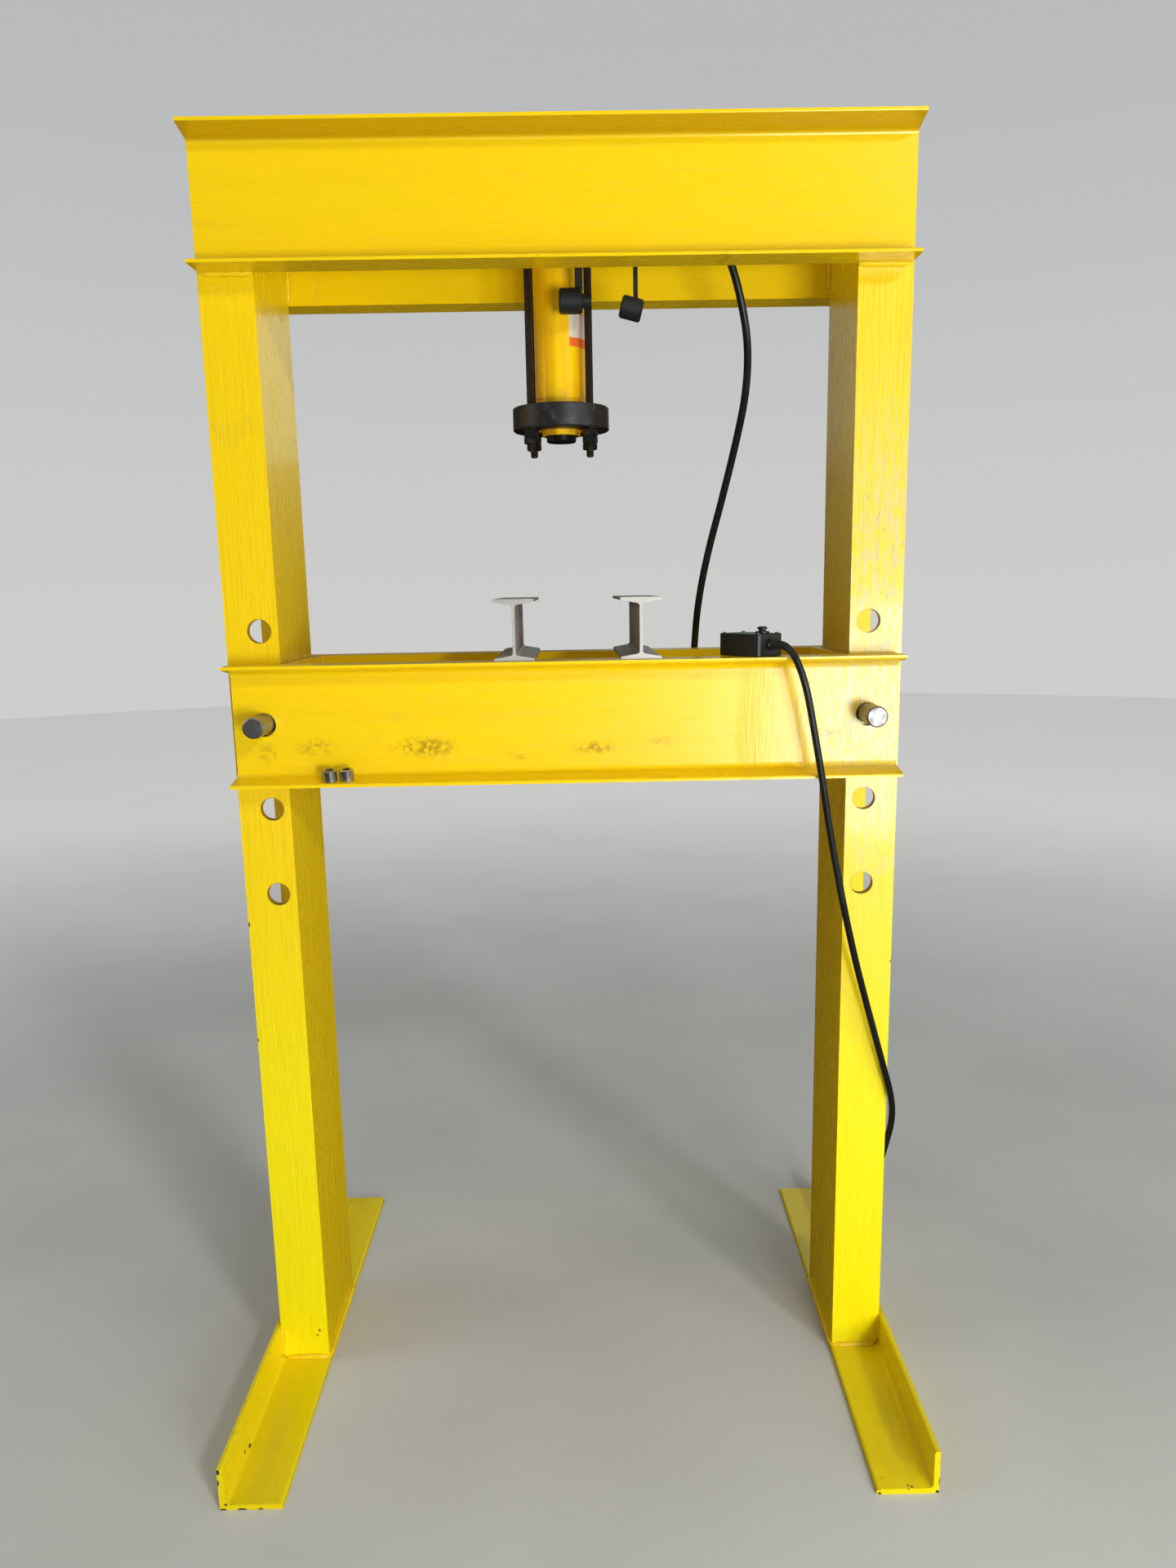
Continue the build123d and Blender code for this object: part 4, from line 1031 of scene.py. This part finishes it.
    def build(self) -> None:
        """Lays the weld beads: those of the right rear corner, and their mirror images."""
        paint = BrushedPaint("paint_welds", Grain.NONE, gloss=0.34).build()
        web = Bead((WEB_X, -POST_FACE_Y, FOOT_TOP), (WEB_X, POST_FACE_Y, FOOT_TOP), INWARD, UP, self.weld_leg)
        flange = Bead((WEB_X, POST_FACE_Y, FOOT_TOP), (POST_TOE_X - 0.009, POST_FACE_Y, FOOT_TOP),
                      REARWARD, UP, self.weld_leg)
        toe = Bead((POST_TOE_X, POST_FACE_Y, FOOT_TOP + 0.010),
                   (POST_TOE_X, POST_FACE_Y, FOOT_LEG_TOP - 0.0042), REARWARD, INWARD, 0.0055)
        lay_beads("welds_feet", four_corners((web,), (flange, toe)), 11, paint)
        under = Bead((WEB_X, POST_FACE_Y, CROWN_BOTTOM),
                     (CROWN_HALF_LENGTH - 0.001, POST_FACE_Y, CROWN_BOTTOM), REARWARD, DOWN)
        upright = Bead((WEB_X, POST_FACE_Y, CROWN_BOTTOM + 0.004), (WEB_X, POST_FACE_Y, POST_TOP - 0.01),
                       FRONTWARD, INWARD)
        lay_beads("welds_crown", four_corners((), (under, upright)), 12, paint)
        plate = [Bead((-PLATE_HALF_WIDTH, POST_FACE_Y, height), (PLATE_HALF_WIDTH, POST_FACE_Y, height),
                      FRONTWARD, rise, self.weld_leg)
                 for height, rise in ((PLATE_BOTTOM, DOWN), (PLATE_TOP, UP))]
        both_ways = [bead.mirrored(1, way) for way in (-1, 1) for bead in plate]
        lay_beads("welds_bearing_plate", both_ways, 13, paint)
        face_y = POST_FACE_Y + BED_PLAY
        spacer = Bead((SPACER_X, face_y, BED_TOP - 0.150), (SPACER_X, face_y, BED_TOP - 0.002),
                      FRONTWARD, INWARD, 0.005)
        lay_beads("welds_spacers", four_corners((), (spacer,)), 14, paint)


@dataclass
class BedTools:
    """Pins, press blocks and the two small bushings."""

    def dress(self) -> None:
        """Finishes the loose steel pieces."""
        pins = TurnedSteel("steel_pins", (0.30, 0.29, 0.285), (0.12, 0.10, 0.085), Grain.ALONG_Y,
                           gloss=0.34)
        turned = TurnedSteel("steel_bushings", (0.46, 0.45, 0.44), (0.14, 0.12, 0.11), Grain.ALONG_X,
                             gloss=0.2)
        dress(pins, "bed_pin_left", "bed_pin_right")
        dress(turned, "steel_bushings")
        dress(CutSteel("steel_press_blocks"), "press_block_left", "press_block_right")


@dataclass
class HydraulicCylinder:
    """Cylinder, ring plate, tie rods and the pieces inside."""

    label_low: float = 1.8430
    label_high: float = 1.8950
    label_from: float = math.radians(24.0)
    label_to: float = math.radians(82.0)
    label_stand: float = 0.0003
    label_columns: int = 16

    def dress(self) -> None:
        """Finishes the nodes of the cylinder."""
        dress(CylinderPaint("paint_cylinder"), "cylinder_body", "stop_ring")
        dress(Blackened("steel_ring"), "ring_plate")
        dress(ThreadedRod("steel_tie_rods"), "tie_rods")
        nuts = Blackened("steel_nuts", (0.016, 0.013, 0.012), (0.15, 0.12, 0.10), ring_pitch=0.0021,
                         gloss=0.2)
        dress(nuts, "tie_rod_upper_washers", "tie_rod_upper_nuts", "tie_rod_lower_washers",
              "tie_rod_lower_nuts", "tie_rod_lock_nuts")
        chrome = TurnedSteel("chrome_plunger", (0.62, 0.62, 0.63), (0.45, 0.45, 0.46), Grain.ALONG_Z,
                             gloss=0.12, metal=1.0, marks=0.00002)
        dress(chrome, "plunger")
        saddle = Blackened("steel_saddle", (0.012, 0.012, 0.013), (0.05, 0.05, 0.052),
                           ring_pitch=0.0007)
        dress(saddle, "saddle")
        spring = TurnedSteel("steel_return_spring", (0.10, 0.10, 0.105), (0.04, 0.035, 0.03))
        dress(spring, "return_spring")
        dress(TurnedSteel("bronze_band", (0.50, 0.33, 0.14), (0.30, 0.18, 0.08)), "bearing_band")
        dress(BlackRubber("rubber_seals"), "piston_seal", "rod_wiper")

    def build_label(self) -> None:
        """Lays a curved film label on the cylinder's right front."""
        shape = bmesh.new()
        radius = CYLINDER_RADIUS + self.label_stand
        rows = []
        for height in (self.label_low, self.label_high):
            row = []
            for column in range(self.label_columns + 1):
                share = column / self.label_columns
                turn = self.label_from + (self.label_to - self.label_from) * share
                place = (radius * math.sin(turn), -radius * math.cos(turn), height)
                row.append(shape.verts.new(place))
            rows.append(row)
        low, high = rows
        for column in range(self.label_columns):
            shape.faces.new((low[column], low[column + 1], high[column + 1], high[column]))
        film = LabelFilm("film_label", self.label_low, self.label_high).build()
        label = new_object(mesh_from("cylinder_label", shape), film)
        thickness = label.modifiers.new("thickness", "SOLIDIFY")
        thickness.thickness = self.label_stand
        thickness.offset = 0.0


@dataclass
class CordLine:
    """A cord or hose as one smooth line of round section."""

    name: str
    points: list[Point]
    diameter: float
    round_steps: int = 6
    line_steps: int = 12

    def build(self, material: Material) -> Piece:
        """Builds the line.

        Args:
            material: its finish.

        Returns:
            The curve object.
        """
        curve = bpy.data.curves.new(self.name, "CURVE")
        curve.dimensions = "3D"
        curve.bevel_depth = self.diameter / 2
        curve.bevel_resolution = self.round_steps
        curve.resolution_u = self.line_steps
        curve.use_fill_caps = True
        spline = curve.splines.new("NURBS")
        spline.points.add(len(self.points) - 1)
        for control, place in zip(spline.points, self.points):
            control.co = (*place, 1.0)
        spline.order_u = 3
        spline.use_endpoint_u = True
        return new_object(curve, material)


@dataclass(frozen=True)
class CordRelief:
    """Tapered and ribbed rubber sleeve that follows the start of a cord."""

    name: str
    start: float
    length: float
    wide: float
    narrow: float
    ribs: int = 6
    rib_depth: float = 0.0007
    ribs_from: float = 0.08
    ribs_to: float = 0.94
    around: int = 28
    steps_per_rib: int = 6

    @staticmethod
    def line_of(cord: Piece) -> list[Vector]:
        """Points along the centre line of a cord's own spline.

        Args:
            cord: the curve object.

        Returns:
            Points in order from the cord's start.
        """
        bare = cord.copy()
        bare.data = cord.data.copy()
        bare.data.bevel_depth = 0.0
        bare.data.use_fill_caps = False
        mesh = bpy.data.meshes.new_from_object(bare)
        points = [vertex.co.copy() for vertex in mesh.vertices]
        spare = bare.data
        bpy.data.objects.remove(bare)
        bpy.data.curves.remove(spare)
        bpy.data.meshes.remove(mesh)
        return points

    @staticmethod
    def place_at(points: Sequence[Vector], distance: float) -> tuple[Vector, Vector]:
        """Walks along a line.

        Args:
            points: the line.
            distance: how far to go from its first point.

        Returns:
            The place reached and the line's direction there.
        """
        for first, second in zip(points, points[1:]):
            run = (second - first).length
            if distance <= run:
                return first.lerp(second, distance / run), (second - first).normalized()
            distance -= run
        return points[-1].copy(), (points[-1] - points[-2]).normalized()

    def radius(self, share: float) -> float:
        """Outside of the sleeve.

        Args:
            share: how far along the sleeve, from 0 to 1.

        Returns:
            The radius there.
        """
        taper = self.wide + (self.narrow - self.wide) * share
        if not self.ribs_from < share < self.ribs_to:
            return taper
        return taper - self.rib_depth * (0.5 - 0.5 * math.cos(2 * math.pi * self.ribs * share))

    def build(self, cord: Piece, material: Material) -> Piece:
        """Builds the sleeve round a cord.

        Args:
            cord: the curve object that it follows.
            material: its finish.

        Returns:
            The sleeve.
        """
        points = self.line_of(cord)
        shape = bmesh.new()
        count = self.ribs * self.steps_per_rib
        rings = []
        for index in range(count + 1):
            share = index / count
            middle, along = self.place_at(points, self.start + self.length * share)
            side = along.cross(Vector((0.0, 0.0, 1.0))).normalized()
            upward = side.cross(along)
            ring = []
            for spoke in range(self.around):
                turn = 2 * math.pi * spoke / self.around
                spread = side * math.cos(turn) + upward * math.sin(turn)
                ring.append(shape.verts.new(middle + spread * self.radius(share)))
            rings.append(ring)
        skin(shape, rings)
        bmesh.ops.recalc_face_normals(shape, faces=shape.faces)
        return new_object(mesh_from(self.name, shape, smooth_corners=4), material)


@dataclass
class OilLine:
    """Elbow, couplers, dust caps and the hydraulic hose down behind the bed."""

    hose_diameter: float = 0.013
    hose_length: float = 1.62
    route: list[Point] = field(default_factory=lambda: [
        (0.1796, COUPLER_Y, PORT_Z), (0.222, -0.0775, 2.0335), (0.262, -0.075, 2.008), (0.284, -0.070, 1.962),
        (0.303, -0.058, 1.905), (0.318, -0.034, 1.842), (0.320, 0.002, 1.772), (0.309, 0.040, 1.700),
        (0.288, 0.084, 1.600), (0.265, 0.127, 1.502), (0.251, 0.166, 1.411), (0.247, 0.190, 1.334),
        (0.244, 0.194, 1.278), (0.237, 0.186, 1.230), (0.222, 0.171, 1.190), (0.197, 0.159, 1.161),
        (0.161, 0.1535, 1.146), (0.118, 0.1528, 1.1423), (0.062, 0.1545, 1.142), (-0.008, 0.1532, 1.1422),
        (-0.092, 0.1544, 1.142), (-0.176, 0.1529, 1.1423), (-0.248, 0.1522, 1.1436), (-0.312, 0.151, 1.149),
        (-0.364, 0.150, 1.1545), (-0.404, 0.150, 1.1556)])

    def dress(self) -> None:
        """Finishes the metal pieces and the dust caps."""
        dress(Blackened("steel_elbow", (0.05, 0.042, 0.036), (0.20, 0.17, 0.14)), "port_elbow")
        plated = Knurled("steel_couplers", COUPLER_Y, PORT_Z)
        dress(plated, "coupler_ram_half", "coupler_hose_half", "hose_fitting_upper")
        far_end = Knurled("steel_end_coupler", *END_COUPLER_AXIS, colour=(0.34, 0.32, 0.29))
        dress(far_end, "hose_fitting_lower", "hose_end_coupler")
        caps = BlackRubber("rubber_dust_caps", (0.008, 0.009, 0.011), (0.03, 0.03, 0.03), gloss=0.42,
                           relief=0.0002)
        dress(caps, "dust_cap_ram_half", "dust_cap_hose_half")

    def build(self) -> None:
        """Builds the hose."""
        line = CordLine("press_hose", self.route, self.hose_diameter)
        hose = line.build(BlackRubber("rubber_hose", gloss=0.30).build())
        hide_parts("hydraulic_hose")


@dataclass
class PendantControl:
    """Pendant switch on the bed, its cord round the right post, and the coil behind it."""

    cord_diameter: float = 0.012
    cord_length: float = 3.0
    coil_mid_radius: float = 0.0595
    coil_turns: float = 4.25
    coil_front_x: float = 0.554
    coil_y: float = -0.024
    coil_z: float = 0.0753
    points_per_turn: int = 16
    plug_end: Point = (0.512, 0.048, 0.0248)
    relief: CordRelief = CordRelief("lead_relief", start=0.0005, length=0.024, wide=0.0078, narrow=0.0064)
    route: list[Point] = field(default_factory=lambda: [
        (0.351, -0.165693, 1.3487), (0.359523, -0.177424, 1.3487), (0.3672, -0.1880, 1.3432),
        (0.3746, -0.1966, 1.3325), (0.3815, -0.2018, 1.3175), (0.3888, -0.2041, 1.2975),
        (0.3972, -0.2032, 1.268), (0.406, -0.200, 1.226), (0.4165, -0.1955, 1.174), (0.429, -0.189, 1.112),
        (0.441, -0.181, 1.046), (0.457, -0.172, 0.970), (0.475, -0.163, 0.890), (0.496, -0.154, 0.805),
        (0.5195, -0.1455, 0.722), (0.5415, -0.137, 0.648), (0.560, -0.1295, 0.586), (0.574, -0.125, 0.540),
        (0.583, -0.116, 0.500), (0.585, -0.105, 0.462), (0.580, -0.095, 0.422), (0.571, -0.0885, 0.378),
        (0.562, -0.0855, 0.322), (0.5565, -0.0842, 0.258), (0.5543, -0.0837, 0.196),
        (0.5541, -0.0836, 0.136)])

    def coil_points(self) -> list[Point]:
        """Works out the coil's turns.

        Returns:
            Control points from the coil's front to its bottom.
        """
        points = []
        count = round(self.coil_turns * self.points_per_turn)
        for index in range(count + 1):
            share = index / count
            turn = math.pi + 2 * math.pi * self.coil_turns * share
            x = self.coil_front_x - self.coil_turns * self.cord_diameter * share
            y = self.coil_y + self.coil_mid_radius * math.cos(turn)
            z = self.coil_z + self.coil_mid_radius * math.sin(turn)
            points.append((x, y, z))
        return points

    def tail_points(self) -> list[Point]:
        """Lays the cord's last stretch.

        Returns:
            Control points from the coil's bottom to the plug.
        """
        back = self.coil_front_x - self.coil_turns * self.cord_diameter
        low = self.coil_z - self.coil_mid_radius
        return [(back + 0.0002, self.coil_y + 0.017, low + 0.0004),
                (back + 0.0035, self.coil_y + 0.035, low + 0.0035),
                (back + 0.0075, self.coil_y + 0.054, low + 0.0076), self.plug_end]

    def dress(self) -> None:
        """Finishes the pendant's pieces."""
        dress(MouldedPlastic("plastic_pendant"), "pendant_case", "pendant_cover", "cord_gland",
              "switch_block", "connector_plug")
        dress(MouldedPlastic("plastic_bezel", gloss=0.28), "button_bezel")
        dress(BlackRubber("rubber_button", gloss=0.42), "pendant_button")
        screws = TurnedSteel("steel_screws", (0.30, 0.29, 0.27), (0.10, 0.09, 0.08))
        dress(screws, "pendant_screws", "button_spring")

    def build(self) -> None:
        """Builds the cord with its coil."""
        points = self.route + self.coil_points() + self.tail_points()
        line = CordLine("pendant_lead", points, self.cord_diameter)
        cord = line.build(BlackRubber("rubber_cord", gloss=0.33).build())
        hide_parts("pendant_cord", "pendant_cord_coil", "pendant_cord_tail")
        rubber = BlackRubber("rubber_relief", (0.010, 0.010, 0.011), gloss=0.40).build()
        sleeve = self.relief.build(cord, rubber)


@dataclass(frozen=True)
class Lamp:
    """One soft rectangular lamp that hangs at a place and faces a point; its power is in watts."""

    name: str
    place: Point
    aim: Point
    size: tuple[float, float]
    power: float
    colour: Colour = (1.0, 1.0, 1.0)

    def hang(self) -> None:
        """Adds the lamp to the scene, unseen by the camera."""
        data = bpy.data.lights.new(self.name, "AREA")
        data.shape = "RECTANGLE"
        data.size, data.size_y = self.size
        data.energy = self.power
        data.color = self.colour
        lamp = bpy.data.objects.new(self.name, data)
        lamp.location = self.place
        lamp.rotation_mode = "QUATERNION"
        lamp.rotation_quaternion = (Vector(self.aim) - Vector(self.place)).to_track_quat("-Z", "Y")
        lamp.visible_camera = False
        bpy.context.scene.collection.objects.link(lamp)


@dataclass
class Studio:
    """Floor, backdrop, lamps and the camera at the photograph's viewing angle."""

    camera_place: Point = (0.036956, -2.116620, 1.447921)
    pitch_down: float = math.radians(11.503)
    yaw_right: float = math.radians(0.489)
    roll: float = math.radians(1.006)
    focal_pixels: float = 1432.282
    centre_x: float = 734.795
    centre_y: float = 1009.774
    image_width: int = 1440
    image_height: int = 1920
    sensor: float = 36.0
    floor_size: float = 30.0
    backdrop_radius: float = 14.0
    backdrop_height: float = 26.0
    backdrop_sink: float = 0.02
    sky_strength: float = 0.16
    lamps: tuple[Lamp, ...] = (
        Lamp("broad_right", (1.27, -3.3, 0.85), (0.35, 0.0, 1.2), (0.9, 1.0), 75.0, (0.93, 1.0, 0.97)),
        Lamp("front", (4.4, -7.4, 5.6), (0.0, 0.0, 1.6), (1.1, 0.8), 232.0),
        Lamp("right_side", (3.2, -2.2, 1.3), (-0.4, 0.0, 1.1), (1.2, 1.2), 30.0, (1.0, 0.97, 0.93)),
        Lamp("overhead", (0.0, 0.3, 7.0), (0.0, 0.0, 1.0), (6.0, 5.0), 80.0, (0.88, 1.0, 0.86)),
        Lamp("left_fill", (-2.8, -0.5, 2.6), (0.4, 0.0, 1.7), (1.5, 1.5), 20.0, (1.0, 0.97, 0.93)),
        Lamp("rear_glow", (0.75, 4.2, 2.7), (-0.3, 0.0, 1.5), (1.4, 1.2), 5.0, (0.80, 1.0, 0.90)),
    )

    def build_camera(self) -> None:
        """Makes the camera and sets it as the scene's."""
        forward = Vector((math.sin(self.yaw_right) * math.cos(self.pitch_down),
                          math.cos(self.yaw_right) * math.cos(self.pitch_down),
                          -math.sin(self.pitch_down)))
        level = forward.cross(Vector((0.0, 0.0, 1.0))).normalized()
        upright = level.cross(forward)
        right = level * math.cos(self.roll) - upright * math.sin(self.roll)
        up = level * math.sin(self.roll) + upright * math.cos(self.roll)
        data = bpy.data.cameras.new("camera")
        data.sensor_width = self.sensor
        data.lens = self.focal_pixels * self.sensor / self.image_height
        data.shift_x = -(self.centre_x - self.image_width / 2) / self.image_height
        data.shift_y = (self.centre_y - self.image_height / 2) / self.image_height
        camera = bpy.data.objects.new("camera", data)
        axes = Matrix((right, up, -forward)).transposed().to_4x4()
        camera.matrix_world = Matrix.Translation(self.camera_place) @ axes
        bpy.context.scene.collection.objects.link(camera)
        bpy.context.scene.camera = camera

    def build_lights(self) -> None:
        """Hangs the lamps, and adds a dim sky and plain colour rendering."""
        for lamp in self.lamps:
            lamp.hang()
        world = bpy.data.worlds.new("studio")
        sheet = NodeSheet("sky", world)
        colour = sheet.blend(sheet.z.step(-0.06, 0.12), (0.03, 0.03, 0.03), (0.80, 0.81, 0.82))
        sky = sheet.node("ShaderNodeBackground", {}, {"Color": colour, "Strength": self.sky_strength})
        sheet.node("ShaderNodeOutputWorld", {}, {"Surface": Signal(sheet, sky.outputs[0])})
        bpy.context.scene.world = world
        bpy.context.scene.view_settings.view_transform = "Standard"

    @staticmethod
    def add_surface(mesh: bpy.types.Mesh, finish: Finish) -> Piece:
        """Puts a surface of the studio in the scene.

        Args:
            mesh: its mesh.
            finish: its finish.

        Returns:
            The new object.
        """
        mesh.materials.append(finish.build())
        surface = bpy.data.objects.new(mesh.name, mesh)
        bpy.context.scene.collection.objects.link(surface)
        return surface

    def build_backdrop(self) -> None:
        """Builds a plain round backdrop that only the camera sees."""
        shape = bmesh.new()
        radius, height = self.backdrop_radius, self.backdrop_height
        bmesh.ops.create_cone(shape, segments=96, radius1=radius, radius2=radius, depth=height,
                              cap_ends=False)
        bmesh.ops.translate(shape, verts=shape.verts, vec=(0.0, 0.0, height / 2 - self.backdrop_sink))
        mesh = mesh_from("backdrop", shape, smooth_corners=4)
        backdrop = self.add_surface(mesh, BackdropGlow("studio_backdrop"))
        backdrop.visible_diffuse = False
        backdrop.visible_glossy = False
        backdrop.visible_shadow = False

    def build_floor(self) -> None:
        """Builds a plain floor that no gloss mirrors."""
        shape = bmesh.new()
        bmesh.ops.create_grid(shape, x_segments=8, y_segments=8, size=self.floor_size / 2)
        floor = self.add_surface(mesh_from("floor", shape), FloorCoat("studio_floor"))
        floor.visible_glossy = False


def main() -> None:
    """Builds and dresses the press in order."""
    logging.basicConfig(level=logging.INFO, format="%(name)s: %(message)s")
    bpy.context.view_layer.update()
    studio = Studio()
    studio.build_camera()
    pendant = PendantControl()
    pendant.build()
    oil_line = OilLine()
    oil_line.build()
    press_frame = PressFrame()
    press_frame.dress()
    press_frame.build()
    BedTools().dress()
    cylinder = HydraulicCylinder()
    cylinder.dress()
    cylinder.build_label()
    oil_line.dress()
    pendant.dress()
    studio.build_floor()
    studio.build_backdrop()
    studio.build_lights()


if __name__ == "__main__":
    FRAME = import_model()
    NODES = FRAME["nodes"]
    main()
